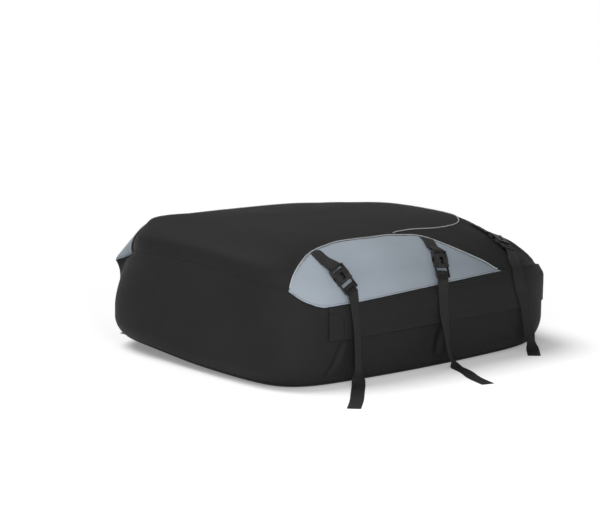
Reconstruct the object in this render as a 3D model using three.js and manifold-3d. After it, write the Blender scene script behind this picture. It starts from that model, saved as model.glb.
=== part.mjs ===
// Roof cargo bag, shown packed full: sewn cloth panels, a zip under a storm flap, and six webbing straps
// with side-release buckles. Millimetres, +Z up, +X towards the rear (zip end), -Y the near side.
// The origin is the centre of the base.
import * as THREE from 'three';
import { mergeVertices } from 'three/addons/utils/BufferGeometryUtils.js';
import Module from 'manifold-3d';

const wasm = await Module();
wasm.setup();

// Driving dimensions of the packed bag
const LENGTH = 1074;
const WIDTH = 890;
const HEIGHT = 389;
const PANEL_T = 2;
const SEAM_GAP = 0.3;
const CLEAR = 0.3;

// Plan outline: a superellipse, whose rear corners round off above the seam
const WALL_SQUARENESS = 6.5;
const REAR_SQUARENESS = 2.8;
const REAR_ROUNDING = 0.31;
// The nose's corners are drawn in above NOSE_LEAN_LOW, and have this squareness from NOSE_LEAN_HIGH up
const NOSE_SQUARENESS = 4;
const NOSE_LEAN_LOW = 110;
const NOSE_LEAN_HIGH = 270;

// Foot of the walls: how far they tuck in, and how high the rounding reaches
const TUCK = 27;
const CORNER_TUCK = 18;
const FOOT_RISE = 55;
const CORNER_FOOT_RISE = 30;
const HEM_Z = 14;

// Seam between the walls and the lid
const SIDE_SEAM_Z = 237;
const SIDE_SEAM_SLOPE = 0.0385;
const NOSE_SEAM_Z = 317;
const NOSE_SEAM_DROP = 42;
const REAR_SEAM_Z = 212;

// Crown: HEIGHT at its middle, rising a little to the front and arched across
const CROWN_TILT = 0.034;
const CROWN_ARCH = 30;
// Its profile exponents: boxy at the nose and sides, a long slope at the rear
const CROWN_FLAT = 5.1;
const CROWN_SHOULDER = 3.2;
const REAR_FLAT = 5.45;
const REAR_SHOULDER = 1.12;

// Zip and storm flap
const ZIP_Z = 185;
const TAPE_W = 9;
const TAPE_T = 1.2;
const COIL_W = 2.6;
const COIL_T = 3.6;
const COIL_SLIT = 2;
const FLAP_LOW_Z = 130;
const FLAP_T = 1.5;
const FLAP_STAND = 6.8;
const FLAP_END_T = 1;
const SLIDER_L = 13;
const SLIDER_H = 9;
const SLIDER_PLATE = 1.2;
const POST_T = 1.2;
const PULL_L = 26;
const PULL_W = 7;
const PULL_T = 1.4;

// Piping cord in the seams
const PIPING_R = 2.2;
const PIPING_SIDES = 7;
const PIPING_BEND = 8;
const PIPING_STOP = 1.4;

// Webbing and buckles
const WEB_W = 38;
const WEB_T = 1.4;
const WEB_GAP = 0.35;
const BUCKLE_W = 50;
const BUCKLE_T = 12;
const BUCKLE_LIFT = 0.4;
const BAR = 4;
const LAID_RISE = 2.4;
const LAID_REACH = 8;
const TAIL_LIE = 1.1;
const TAIL_STEPS = 3;

// Angles round the bag, in degrees from the rear, anticlockwise seen from above; the near side is 270
const FLAP_START = 229.5;
const FLAP_END_STOP = 233.5;
const REAR_WALL_START = 322;
const GREY_FRONT = 219;
const GREY_REAR = 301.5;
const REAR_PANEL_START = 263;
const TOP_PIPING_START = 267.5;

// Upper edge of the grey side panel: [angle, height share], where 1 is the seam and 2 the crown
const GREY_EDGE = [
  [219, 1.02], [219.8, 1.155], [221.2, 1.354], [222.9, 1.516], [225.6, 1.622], [230.7, 1.704], [236, 1.731],
  [250, 1.742], [262, 1.744], [270, 1.722], [276, 1.705], [280, 1.668], [283.2, 1.585], [287.5, 1.47],
  [292, 1.378], [297, 1.27], [299.5, 1.15], [301.5, 1.045],
];
// Rear edge of the top panel, from where it leaves the grey panel to the middle of the rear
const TOP_EDGE = [
  [262, 1.744], [270, 1.777], [276, 1.787], [284, 1.8], [300, 1.798], [312, 1.784], [330, 1.76],
  [345, 1.725], [360, 1.715],
];
// Angles where every panel has a row of facets, over one quarter
const QUARTER = [0, 10, 19, 26, 31, 35, 38, 41, 45, 51, 60, 74];
// Where the lid's panels step round the blunt tips of the grey panel
const TIP_STEP = 0.25;

const COLOURS = {
  cloth: { color: 0x2b2c2e, roughness: 0.85, metalness: 0 },
  base: { color: 0x222324, roughness: 0.9, metalness: 0 },
  grey: { color: 0x8f99a6, roughness: 0.6, metalness: 0 },
  piping: { color: 0xb4bac0, roughness: 0.5, metalness: 0 },
  zip: { color: 0x1c1c1d, roughness: 0.6, metalness: 0 },
  slider: { color: 0x55565a, roughness: 0.35, metalness: 1 },
  webbing: { color: 0x1a1a1b, roughness: 0.9, metalness: 0 },
  buckle: { color: 0x0e0e0f, roughness: 0.3, metalness: 0 },
};
const MATERIALS = Object.fromEntries(
  Object.entries(COLOURS).map(([name, look]) => [name, new THREE.MeshStandardMaterial(look)]),
);

const bag = new THREE.Group();
const smooth = THREE.MathUtils.smoothstep;
const lerp = THREE.MathUtils.lerp;
const radians = THREE.MathUtils.degToRad;

function add(name, geometry, material) {
  const mesh = new THREE.Mesh(geometry, MATERIALS[material]);
  mesh.name = name;
  bag.add(mesh);
  return mesh;
}

// The bag's outer face

function planPoint(t, squareness) {
  const c = Math.cos(t);
  const s = Math.sin(t);
  const a = Math.abs(c / (LENGTH / 2)) ** squareness;
  const b = Math.abs(s / (WIDTH / 2)) ** squareness;
  const r = (a + b) ** (-1 / squareness);
  return [r * c, r * s];
}

function wallSquareness(t, z) {
  const lean = smooth(-Math.cos(t), 0, 0.6) * smooth(z, NOSE_LEAN_LOW, NOSE_LEAN_HIGH);
  return lerp(WALL_SQUARENESS, NOSE_SQUARENESS, lean);
}

function seamHeight(t) {
  const [x, y] = planPoint(t, WALL_SQUARENESS);
  const nose = NOSE_SEAM_Z - NOSE_SEAM_DROP * Math.abs(y / (0.438 * WIDTH)) ** 2.4;
  const side = SIDE_SEAM_Z + SIDE_SEAM_SLOPE * x;
  const front = lerp(side, nose, smooth(-Math.cos(t), 0.655, 0.8));
  return lerp(front, REAR_SEAM_Z, smooth(Math.cos(t), 0.6, 0.95));
}

// How far the foot of the wall is drawn in at height z, as a share of the plan outline
function footShare(t, z) {
  const corner = Math.sin(2 * Math.atan2(Math.sin(t) / WIDTH, Math.cos(t) / LENGTH)) ** 2;
  const rise = FOOT_RISE + CORNER_FOOT_RISE * corner;
  if (z >= rise) return 1;
  const h = 1 - z / rise;
  const tuck = (TUCK + CORNER_TUCK * corner) / (WIDTH / 2);
  return 1 - tuck * (1 - Math.sqrt(Math.max(0, 1 - h * h)));
}

// v runs -1 at the middle of the base, 0 at its edge, 1 at the seam and 2 at the crown
function skinPoint(angle, v) {
  const t = radians(angle);
  const seam = seamHeight(t);
  if (v <= 1) {
    const z = Math.max(0, seam * v);
    const share = footShare(t, z) * Math.min(1, 1 + v);
    const [x, y] = planPoint(t, wallSquareness(t, z));
    return new THREE.Vector3(x * share, y * share, z);
  }
  const rear = smooth(Math.cos(t), 0, 0.62);
  const turn = (v - 1) * Math.PI / 2;
  const across = Math.max(0, Math.cos(turn)) ** (2 / lerp(CROWN_FLAT, REAR_FLAT, rear));
  const up = Math.sin(turn) ** (2 / lerp(CROWN_SHOULDER, REAR_SHOULDER, rear));
  const rounding = rear * up ** lerp(1, REAR_ROUNDING, rear);
  const squareness = lerp(wallSquareness(t, seam), REAR_SQUARENESS, rounding);
  const [x, y] = planPoint(t, squareness).map((q) => q * across);
  const crown = HEIGHT - CROWN_TILT * x - CROWN_ARCH * (y / (WIDTH / 2)) ** 2;
  return new THREE.Vector3(x, y, lerp(seam, crown, up));
}

function skinNormal(angle, v) {
  if (v > 1.995) return new THREE.Vector3(0, 0, 1);
  if (v < -0.01) return new THREE.Vector3(0, 0, -1);
  const alongT = skinPoint(angle + 0.01, v).sub(skinPoint(angle - 0.01, v));
  const alongV = skinPoint(angle, v + 1e-4).sub(skinPoint(angle, v - 1e-4));
  return alongT.cross(alongV).normalize();
}

function skinAt(angle, v, out = 0) {
  return skinPoint(angle, v).addScaledVector(skinNormal(angle, v), out);
}

const shareAt = (angle, z) => z / seamHeight(radians(angle));

// Straight interpolation in a list of [angle, value]
function along(list, angle) {
  const k = list.findIndex(([a]) => a >= angle - 1e-9);
  if (k <= 0) return k === 0 ? list[0][1] : list.at(-1)[1];
  const [a0, v0] = list[k - 1];
  const [a1, v1] = list[k];
  return lerp(v0, v1, (angle - a0) / (a1 - a0));
}

// Angles on the far side mirror those on the near side
const nearAngle = (angle) => {
  const a = ((angle % 360) + 360) % 360;
  return a < 180 ? 360 - a : a;
};
const greyEdge = (angle) => along(GREY_EDGE, nearAngle(angle));
const topEdge = (angle) => along(TOP_EDGE, nearAngle(angle));

// Every angle where a row of facets runs, on both sides and on for a second turn
function facetRows(near) {
  const all = new Set();
  for (const a of near) all.add(a).add(360 - a);
  for (const a of QUARTER) all.add(a).add(180 - a).add(180 + a).add((360 - a) % 360);
  const once = [...all].sort((a, b) => a - b);
  return [...once, ...once.map((a) => a + 360)];
}
const TUB_ROWS = facetRows([FLAP_START, REAR_WALL_START]);
const LID_ROWS = facetRows([
  GREY_FRONT - TIP_STEP, GREY_REAR + TIP_STEP, FLAP_START, FLAP_END_STOP, REAR_PANEL_START,
  ...GREY_EDGE.map(([angle]) => angle),
]);

function anglesBetween(start, end, rows = LID_ROWS) {
  const margin = TIP_STEP / 2;
  return [start, ...rows.filter((a) => a > start + margin && a < end - margin), end];
}

// Closed solids

function solid(positions, triangles) {
  let volume = 0;
  for (let i = 0; i < triangles.length; i += 3) {
    const [a, b, c] = [0, 1, 2].map((k) => positions[triangles[i + k]]);
    volume += a.dot(new THREE.Vector3().crossVectors(b, c));
  }
  const order = volume < 0 ? triangles.toReversed() : triangles;
  const geometry = new THREE.BufferGeometry();
  geometry.setAttribute('position', new THREE.Float32BufferAttribute(positions.flatMap((p) => p.toArray()), 3));
  geometry.setIndex(order);
  return geometry;
}

// A closed sheet from two matching grids of points, [along][across]; closed joins its two ends, and
// pole draws its last row together into one point
function sheetSolid(outer, inner, { closed = false, pole = false } = {}) {
  const n = outer.length;
  const m = outer[0].length;
  const positions = [];
  const index = [outer, inner].map((grid) => grid.map((row, i) => row.map((p, j) => {
    if (pole && j === m - 1 && i > 0) return -1;
    return positions.push(p) - 1;
  })));
  if (pole) index.forEach((grid) => grid.forEach((row) => { row[m - 1] = grid[0][m - 1]; }));
  const triangles = [];
  const quad = (a, b, c, d) => {
    if (a !== b && b !== c && a !== c) triangles.push(a, b, c);
    if (a !== c && c !== d && a !== d) triangles.push(a, c, d);
  };
  const [o, k] = index;
  for (let i = 0; i < (closed ? n : n - 1); i++) {
    const e = (i + 1) % n;
    for (let j = 0; j < m - 1; j++) {
      quad(o[i][j], o[e][j], o[e][j + 1], o[i][j + 1]);
      quad(k[i][j], k[i][j + 1], k[e][j + 1], k[e][j]);
    }
    quad(o[i][0], k[i][0], k[e][0], o[e][0]);
    if (!pole) quad(o[i][m - 1], o[e][m - 1], k[e][m - 1], k[i][m - 1]);
  }
  if (!closed) {
    for (let j = 0; j < m - 1; j++) {
      quad(o[0][j], o[0][j + 1], k[0][j + 1], k[0][j]);
      quad(o[n - 1][j], k[n - 1][j], k[n - 1][j + 1], o[n - 1][j + 1]);
    }
  }
  return solid(positions, triangles);
}

// A sewn panel: rows of shares up the skin, between two angles, drawn back from its seams
function panel(name, material, start, end, rows, options = {}) {
  const { low = -PANEL_T, high = 0, pole = false, closed = false, facets = LID_ROWS } = options;
  const angles = anglesBetween(start, end, facets);
  if (closed) angles.pop();
  const n = angles.length;
  const m = rows.length;
  const points = angles.map((a) => rows.map((row) => skinPoint(a, row(a))));
  const normals = angles.map((a) => rows.map((row) => skinNormal(a, row(a))));
  const at = (i, j) => points[closed ? (i + n) % n : THREE.MathUtils.clamp(i, 0, n - 1)][j];
  const retreat = (i, j) => {
    const shift = new THREE.Vector3();
    const inward = (tangent, towards) => {
      const direction = new THREE.Vector3().crossVectors(normals[i][j], tangent).normalize();
      if (direction.dot(towards) < 0) direction.negate();
      shift.addScaledVector(direction, SEAM_GAP / 2);
    };
    const acrossEnd = j === 0 || (j === m - 1 && !pole);
    if (acrossEnd) {
      const other = j === 0 ? 1 : m - 2;
      inward(at(i + 1, j).clone().sub(at(i - 1, j)), at(i, other).clone().sub(at(i, j)));
    }
    if (!closed && (i === 0 || i === n - 1)) {
      const low2 = Math.max(0, j - 1);
      const high2 = Math.min(m - 1, j + 1);
      const towards = at(i === 0 ? 1 : n - 2, j).clone().sub(at(i, j));
      inward(at(i, high2).clone().sub(at(i, low2)), towards);
    }
    return shift;
  };
  const grid = (out) => (row, i) => row.map((p, j) => {
    const d = typeof out === 'function' ? out(angles[i], j) : out;
    return p.clone().addScaledVector(normals[i][j], d).add(retreat(i, j));
  });
  return add(name, sheetSolid(points.map(grid(high)), points.map(grid(low)), { closed, pole }), material);
}

const heightRow = (z) => (angle) => shareAt(angle, z);
const share = (v) => () => v;
const between = (from, to, s) => (angle) => lerp(from(angle), to(angle), s);
const spread = (from, to, shares) => shares.map((s) => between(from, to, s));

// A flat strip along points with a width direction at each
function ribbon(points, widths, width, thickness) {
  const n = points.length;
  const rows = points.map((p, i) => {
    const tangent = new THREE.Vector3();
    if (i < n - 1) tangent.add(points[i + 1].clone().sub(p).normalize());
    if (i > 0) tangent.add(p.clone().sub(points[i - 1]).normalize());
    tangent.normalize();
    const across = widths[i].clone().addScaledVector(tangent, -widths[i].dot(tangent)).normalize();
    const out = new THREE.Vector3().crossVectors(across, tangent);
    const edge = (side, lift) => p.clone().addScaledVector(across, side * width / 2)
      .addScaledVector(out, lift * thickness / 2);
    return { top: [edge(-1, 1), edge(1, 1)], bottom: [edge(-1, -1), edge(1, -1)] };
  });
  return sheetSolid(rows.map((r) => r.top), rows.map((r) => r.bottom));
}

// A round cord along points, with a direction square to it at each
function cordSolid(points, normals, radius, sides) {
  const n = points.length;
  const positions = [];
  for (let i = 0; i < n; i++) {
    const tangent = points[Math.min(n - 1, i + 1)].clone().sub(points[Math.max(0, i - 1)]).normalize();
    const side = new THREE.Vector3().crossVectors(tangent, normals[i]).normalize();
    const out = new THREE.Vector3().crossVectors(side, tangent);
    for (let k = 0; k < sides; k++) {
      const a = (k / sides) * 2 * Math.PI;
      positions.push(points[i].clone().addScaledVector(side, radius * Math.cos(a))
        .addScaledVector(out, radius * Math.sin(a)));
    }
  }
  const triangles = [];
  for (let i = 0; i < n - 1; i++) {
    for (let k = 0; k < sides; k++) {
      const [a, b] = [i * sides + k, i * sides + (k + 1) % sides];
      triangles.push(a, b, b + sides, a, b + sides, a + sides);
    }
  }
  for (let k = 1; k < sides - 1; k++) {
    const last = (n - 1) * sides;
    triangles.push(0, k + 1, k, last, last + k, last + k + 1);
  }
  return solid(positions, triangles);
}

// Sewn body

function makeTub() {
  const hem = heightRow(HEM_Z);
  const zipLow = heightRow(ZIP_Z - COIL_SLIT / 2 - COIL_W - TAPE_W);
  const seam = share(1);
  const foot = [hem, heightRow(4), share(0), share(-1)];
  const facets = { facets: TUB_ROWS };
  panel('base_panel', 'base', 0, 360, foot, { closed: true, pole: true, ...facets });
  const lean = heightRow(NOSE_LEAN_LOW + 12);
  const wall = [hem, heightRow(32), heightRow(65), lean, zipLow];
  panel('side_wall_near', 'cloth', FLAP_START, REAR_WALL_START, wall, facets);
  panel('rear_wall', 'cloth', REAR_WALL_START, 720 - REAR_WALL_START, wall, facets);
  panel('side_wall_far', 'cloth', 720 - REAR_WALL_START, 720 - FLAP_START, wall, facets);
  const front = [hem, heightRow(32), heightRow(65), ...spread(lean, seam, [0, 0.33, 0.67, 1])];
  panel('front_panel', 'cloth', 360 - FLAP_START, FLAP_START, front);
}

function makeZip() {
  const end = 720 - FLAP_START;
  const band = (name, material, z0, z1, thickness) => panel(
    name, material, FLAP_START, end, [heightRow(z0), heightRow(z1)],
    { low: -thickness / 2 - PANEL_T / 2, high: thickness / 2 - PANEL_T / 2, facets: TUB_ROWS },
  );
  const slit = COIL_SLIT / 2 - SEAM_GAP / 2;
  band('zip_coil_lower', 'zip', ZIP_Z - slit - COIL_W, ZIP_Z - slit, COIL_T);
  band('zip_coil_upper', 'zip', ZIP_Z + slit, ZIP_Z + slit + COIL_W, COIL_T);
  band('zip_tape_lower', 'zip', ZIP_Z - slit - COIL_W - TAPE_W, ZIP_Z - slit - COIL_W, TAPE_T);
  band('zip_tape_upper', 'zip', ZIP_Z + slit + COIL_W, ZIP_Z + slit + COIL_W + TAPE_W, TAPE_T);
}

function makeFlap() {
  const low = heightRow(FLAP_LOW_Z);
  const seam = share(1);
  const rows = spread(low, seam, [0, 0.45, 0.78, 1]);
  const stand = [FLAP_STAND - 2, FLAP_STAND, FLAP_STAND - 1, CLEAR];
  panel('storm_flap', 'cloth', FLAP_START, 720 - FLAP_START, rows, {
    low: (angle, j) => stand[j],
    high: (angle, j) => stand[j] + FLAP_T,
  });
  const patch = spread(low, seam, [0.02, 0.45, 0.76]);
  const base = [FLAP_STAND - 1.8, FLAP_STAND, FLAP_STAND - 0.9].map((d) => d + FLAP_T + CLEAR);
  const lift = { low: (angle, j) => base[j], high: (angle, j) => base[j] + FLAP_END_T };
  panel('flap_end_near', 'cloth', FLAP_START, FLAP_END_STOP, patch, lift);
  panel('flap_end_far', 'cloth', 360 - FLAP_END_STOP, 360 - FLAP_START, patch, lift);
}

function makeLid() {
  const tapeTop = heightRow(ZIP_Z + COIL_SLIT / 2 - SEAM_GAP / 2 + COIL_W + TAPE_W);
  const seam = share(1);
  panel('lid_band', 'cloth', FLAP_START, 720 - FLAP_START, [tapeTop, seam]);
  const greyRows = spread(seam, greyEdge, [0, 0.2, 0.45, 0.72, 1]);
  panel('grey_panel_near', 'grey', GREY_FRONT, GREY_REAR, greyRows);
  panel('grey_panel_far', 'grey', 360 - GREY_REAR, 360 - GREY_FRONT, greyRows);
  const rearLow = (angle) => (nearAngle(angle) > GREY_REAR + TIP_STEP / 2 ? 1 : greyEdge(angle));
  const rearRows = spread(rearLow, topEdge, [0, 0.22, 0.48, 1]);
  panel('rear_slope_panel', 'cloth', REAR_PANEL_START, 720 - REAR_PANEL_START, rearRows);
  const topLow = (angle) => {
    const a = nearAngle(angle);
    if (a < GREY_FRONT - TIP_STEP / 2) return 1;
    return a < TOP_EDGE[0][0] ? greyEdge(a) : topEdge(a);
  };
  const topRows = spread(topLow, share(2), [0, 0.18, 0.4, 0.68, 1]);
  panel('top_panel', 'cloth', 0, 360, topRows, { closed: true, pole: true });
}

function makePiping() {
  const lay = (name, angles, edge) => {
    const lift = PIPING_R + CLEAR;
    const places = [];
    angles.forEach((angle, i) => {
      const next = angles[Math.min(i + 1, angles.length - 1)];
      const turn = skinNormal(angle, edge(angle)).angleTo(skinNormal(next, edge(next)));
      const parts = Math.max(1, Math.ceil(turn / radians(PIPING_BEND)));
      for (let k = 0; k < parts; k++) places.push(lerp(angle, next, k / parts));
    });
    const points = places.map((a) => skinAt(a, edge(a), lift));
    const normals = places.map((a) => skinNormal(a, edge(a)));
    add(name, cordSolid(points, normals, PIPING_R, PIPING_SIDES), 'piping');
  };
  const near = anglesBetween(GREY_FRONT, GREY_REAR - PIPING_STOP);
  lay('piping_near', near, greyEdge);
  lay('piping_far', near.map((a) => 360 - a), greyEdge);
  lay('piping_top', anglesBetween(TOP_PIPING_START, 720 - TOP_PIPING_START), topEdge);
}

// Manifold helpers for the moulded buckle halves and the zip sliders

function toManifold(geometry) {
  const bare = geometry.index ? geometry.toNonIndexed() : geometry.clone();
  bare.deleteAttribute('normal');
  bare.deleteAttribute('uv');
  const merged = mergeVertices(bare, 1e-5);
  return new wasm.Manifold(new wasm.Mesh({
    numProp: 3,
    vertProperties: new Float32Array(merged.attributes.position.array),
    triVerts: new Uint32Array(merged.index.array),
  }));
}

function fromManifold(result) {
  const mesh = result.getMesh();
  const geometry = new THREE.BufferGeometry();
  geometry.setAttribute('position', new THREE.BufferAttribute(new Float32Array(mesh.vertProperties), 3));
  geometry.setIndex(new THREE.BufferAttribute(new Uint32Array(mesh.triVerts), 1));
  return geometry;
}

function block(x0, x1, y0, y1, z0, z1) {
  const box = new THREE.BoxGeometry(x1 - x0, y1 - y0, z1 - z0);
  box.translate((x0 + x1) / 2, (y0 + y1) / 2, (z0 + z1) / 2);
  return toManifold(box);
}

function plate(outline, z0, z1) {
  const shape = new THREE.Shape(outline.map(([x, y]) => new THREE.Vector2(x, y)));
  const body = new THREE.ExtrudeGeometry(shape, { depth: z1 - z0, bevelEnabled: false });
  body.translate(0, 0, z0);
  return toManifold(body);
}

const mirrorOutline = (half) => [...half, ...half.toReversed().map(([x, y]) => [-x, y])];

// Buckle: x across, y down the strap, z out from the bag. The socket half is sewn to the bag's webbing.
const SOCKET_MOUTH = 6;
const SOCKET_DEEP = -17;
const SLOT_LOW = -30;
const SLOT_HIGH = -24.5;
const SOCKET_END = SLOT_LOW - BAR;
const HALF_W = BUCKLE_W / 2;
const RAIL = 4.5;
const INNER = HALF_W - RAIL;
const MID_Z = BUCKLE_T / 2;
const CAVITY = 3.4;

function socketHalf() {
  const outline = mirrorOutline([
    [HALF_W - 4, SOCKET_MOUTH], [HALF_W - 1.5, SOCKET_MOUTH - 2], [HALF_W, -3], [HALF_W - 0.6, -16],
    [HALF_W - 1.2, SLOT_HIGH], [HALF_W - 1.2, SOCKET_END + 3], [HALF_W - 3.5, SOCKET_END],
  ]);
  let body = plate(outline, 0, BUCKLE_T);
  const cuts = [
    block(-INNER, INNER, SLOT_LOW, SLOT_HIGH, -1, BUCKLE_T + 1),
    block(-INNER, INNER, SOCKET_END - 1, SLOT_LOW + 1, MID_Z + BAR / 2, BUCKLE_T + 1),
    block(-INNER, INNER, SOCKET_END - 1, SLOT_LOW + 1, -1, MID_Z - BAR / 2),
    block(-INNER, INNER, SOCKET_DEEP, SOCKET_MOUTH + 1, MID_Z - CAVITY, MID_Z + CAVITY),
    block(-HALF_W - 1, HALF_W + 1, -12, -1, MID_Z - CAVITY, MID_Z + CAVITY),
    block(-6, 6, -14, SOCKET_MOUTH + 1, BUCKLE_T - 3, BUCKLE_T + 1),
  ];
  for (const cut of cuts) body = body.subtract(cut);
  return fromManifold(body);
}

const BLOCK_START = SOCKET_MOUTH + CLEAR;
const BLOCK_END = 15;
const LOCK_BAR = 27;
const END_BAR = 40;
const LADDER_LOW = 3.4;
const LADDER_HIGH = 7;

function plugHalf() {
  const arm = INNER - 0.5;
  const parts = [
    plate(mirrorOutline([
      [HALF_W - 1, BLOCK_START], [HALF_W, BLOCK_START + 3], [HALF_W - 1, BLOCK_END],
    ]), 0.6, BUCKLE_T - 0.6),
    block(-3, 3, -9, BLOCK_START + 1, MID_Z - 2, MID_Z + 2),
    block(-HALF_W + 1, -HALF_W + RAIL, BLOCK_END - 1, END_BAR + BAR, LADDER_LOW - 0.6, LADDER_HIGH + 1),
    block(HALF_W - RAIL, HALF_W - 1, BLOCK_END - 1, END_BAR + BAR, LADDER_LOW - 0.6, LADDER_HIGH + 1),
    block(-HALF_W + 2, HALF_W - 2, LOCK_BAR, LOCK_BAR + BAR, LADDER_LOW, LADDER_HIGH),
    block(-HALF_W + 2, HALF_W - 2, END_BAR, END_BAR + BAR, LADDER_LOW, LADDER_HIGH),
  ];
  for (const side of [-1, 1]) {
    const outline = [
      [arm - 5, BLOCK_START + 1], [arm - 1.2, BLOCK_START + 1], [arm - 1.6, 0], [arm, -2.5],
      [arm, -8], [arm - 3, -14], [arm - 6, -14], [arm - 6, -8], [arm - 5, -2],
    ].map(([x, y]) => [side * x, y]);
    parts.push(plate(side > 0 ? outline : outline.toReversed(), MID_Z - CAVITY + 0.4, MID_Z + CAVITY - 0.4));
  }
  let body = parts[0];
  for (const part of parts.slice(1)) body = body.add(part);
  return fromManifold(body);
}

// The strap's frame on the bag: an origin just off the skin, y down the strap and z out
function strapFrame(side, centre, from, to) {
  const [angle, v] = centre;
  const mirror = (a) => (side < 0 ? a : 360 - a);
  const out = skinNormal(mirror(angle), v);
  const origin = skinAt(mirror(angle), v, BUCKLE_LIFT);
  const down = skinPoint(mirror(to[0]), to[1]).sub(skinPoint(mirror(from[0]), from[1]));
  down.addScaledVector(out, -down.dot(out)).normalize();
  const acrossStrap = new THREE.Vector3().crossVectors(down, out);
  return new THREE.Matrix4().makeBasis(acrossStrap, down, out).setPosition(origin);
}

const local = (frame, y, z) => new THREE.Vector3(0, y, z).applyMatrix4(frame);
const acrossOf = (frame) => new THREE.Vector3().setFromMatrixColumn(frame, 0);

// How far the panels' flat facets stand above the smooth skin, the most under one stretch of a strap
function facetLift(skin, out, width) {
  const panels = bag.children.filter((mesh) => /^(grey_panel|rear_slope)/.test(mesh.name));
  const length = width.clone().cross(out);
  const heights = [];
  for (const across of [-1, -0.5, 0, 0.5, 1]) {
    for (const on of [-1, 0, 1]) {
      const from = skin.clone().addScaledVector(width, across * WEB_W / 2)
        .addScaledVector(length, on * LAID_REACH).addScaledVector(out, WEB_W);
      const hit = new THREE.Raycaster(from, out.clone().negate()).intersectObjects(panels)[0];
      if (hit) heights.push(WEB_W - hit.distance);
    }
  }
  return Math.max(...heights);
}

// Webbing from the seam to the socket half: over its bar, round it and back to where its end is sewn down
function upperWebbing(frame, side, start, merge) {
  const mirror = (angle) => (side < 0 ? angle : 360 - angle);
  const off = WEB_GAP + WEB_T / 2;
  const over = MID_Z + BAR / 2 + off;
  const under = MID_Z - BAR / 2 - off;
  const turn = SLOT_LOW + off;
  const bevel = off * 0.7;
  const loop = [
    [SOCKET_END - 1, over], [SLOT_LOW, over], [SLOT_LOW + bevel, MID_Z + BAR / 2 + bevel],
    [turn, MID_Z + BAR / 2], [turn, MID_Z - BAR / 2], [SLOT_LOW + bevel, MID_Z - BAR / 2 - bevel],
    [SLOT_LOW, under], [SOCKET_END, under],
  ].map(([y, z]) => local(frame, y, z));
  const heading = skinPoint(mirror(merge[0]), merge[1]).sub(skinPoint(mirror(start[0]), start[1])).normalize();
  const down = new THREE.Vector3().setFromMatrixColumn(frame, 1);
  const lay = (s, rise) => {
    const angle = mirror(lerp(start[0], merge[0], s));
    const v = lerp(start[1], merge[1], s);
    const out = skinNormal(angle, v);
    const width = heading.clone().lerp(down, s).cross(out).normalize();
    const skin = skinPoint(angle, v);
    return { point: skin.addScaledVector(out, facetLift(skin, out, width) + CLEAR + WEB_T / 2 + rise), width };
  };
  const laid = [0, 0.2, 0.4, 0.6, 0.8, 1].map((s) => lay(s, LAID_RISE * s));
  const sewn = lay(1, 0);
  const points = [...laid.map((place) => place.point), ...loop, sewn.point];
  const widths = [...laid.map((place) => place.width), ...loop.map(() => acrossOf(frame)), sewn.width];
  return ribbon(points, widths, WEB_W, WEB_T);
}

// Tail: a doubled end under the lock bar, round it, out under the end bar, then its route to the ground
function tailLoop(frame) {
  const off = WEB_GAP + WEB_T / 2;
  const under = LADDER_LOW - off;
  const over = LADDER_HIGH + off;
  const turn = LOCK_BAR - off;
  const bevel = off * 0.7;
  const lowest = WEB_T / 2 + 0.05;
  const back = LOCK_BAR + BAR;
  return [
    [46, lowest], [38, lowest], [33, 1.6], [back - 0.5, under], [LOCK_BAR, under],
    [LOCK_BAR - bevel, LADDER_LOW - bevel], [turn, LADDER_LOW], [turn, LADDER_HIGH],
    [LOCK_BAR - bevel, LADDER_HIGH + bevel], [LOCK_BAR, over], [back, over], [back + 1.4, over - 0.5],
    [END_BAR - 2.6, 3.2], [END_BAR - 1.4, under + 0.05], [END_BAR + BAR, under + 0.05], [52, 2],
  ].map(([y, z]) => local(frame, y, z));
}

function tailWebbing(frame, route) {
  const loop = tailLoop(frame);
  const across = acrossOf(frame);
  const curve = new THREE.CatmullRomCurve3([loop.at(-1), ...route.map((r) => r.point)], false, 'centripetal');
  const steps = route.length * TAIL_STEPS;
  const points = [...loop];
  const widths = loop.map(() => across);
  for (let i = 1; i <= steps; i++) {
    const s = i / steps;
    const place = s * route.length;
    const k = Math.min(route.length - 1, Math.floor(place));
    const hanging = (k === 0 ? across : route[k - 1].width).clone().lerp(route[k].width, place - k);
    const point = curve.getPoint(s);
    const tangent = curve.getTangent(s);
    const lying = new THREE.Vector3(tangent.y, -tangent.x, 0).normalize();
    if (lying.dot(hanging) < 0) lying.negate();
    const width = lying.lerp(hanging.normalize(), smooth(point.z, 6, 40));
    width.addScaledVector(tangent, -width.dot(tangent)).normalize();
    point.z = Math.max(point.z, TAIL_LIE + Math.abs(width.z) * WEB_W / 2);
    points.push(point);
    widths.push(width);
  }
  return ribbon(points, widths, WEB_W, WEB_T);
}

const vec = (x, y, z) => new THREE.Vector3(x, y, z);
const FLAP_OUT = FLAP_STAND + FLAP_T + CLEAR + FLAP_END_T + CLEAR + WEB_T / 2 + 0.3;
const SIDE = WIDTH / 2;

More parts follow.
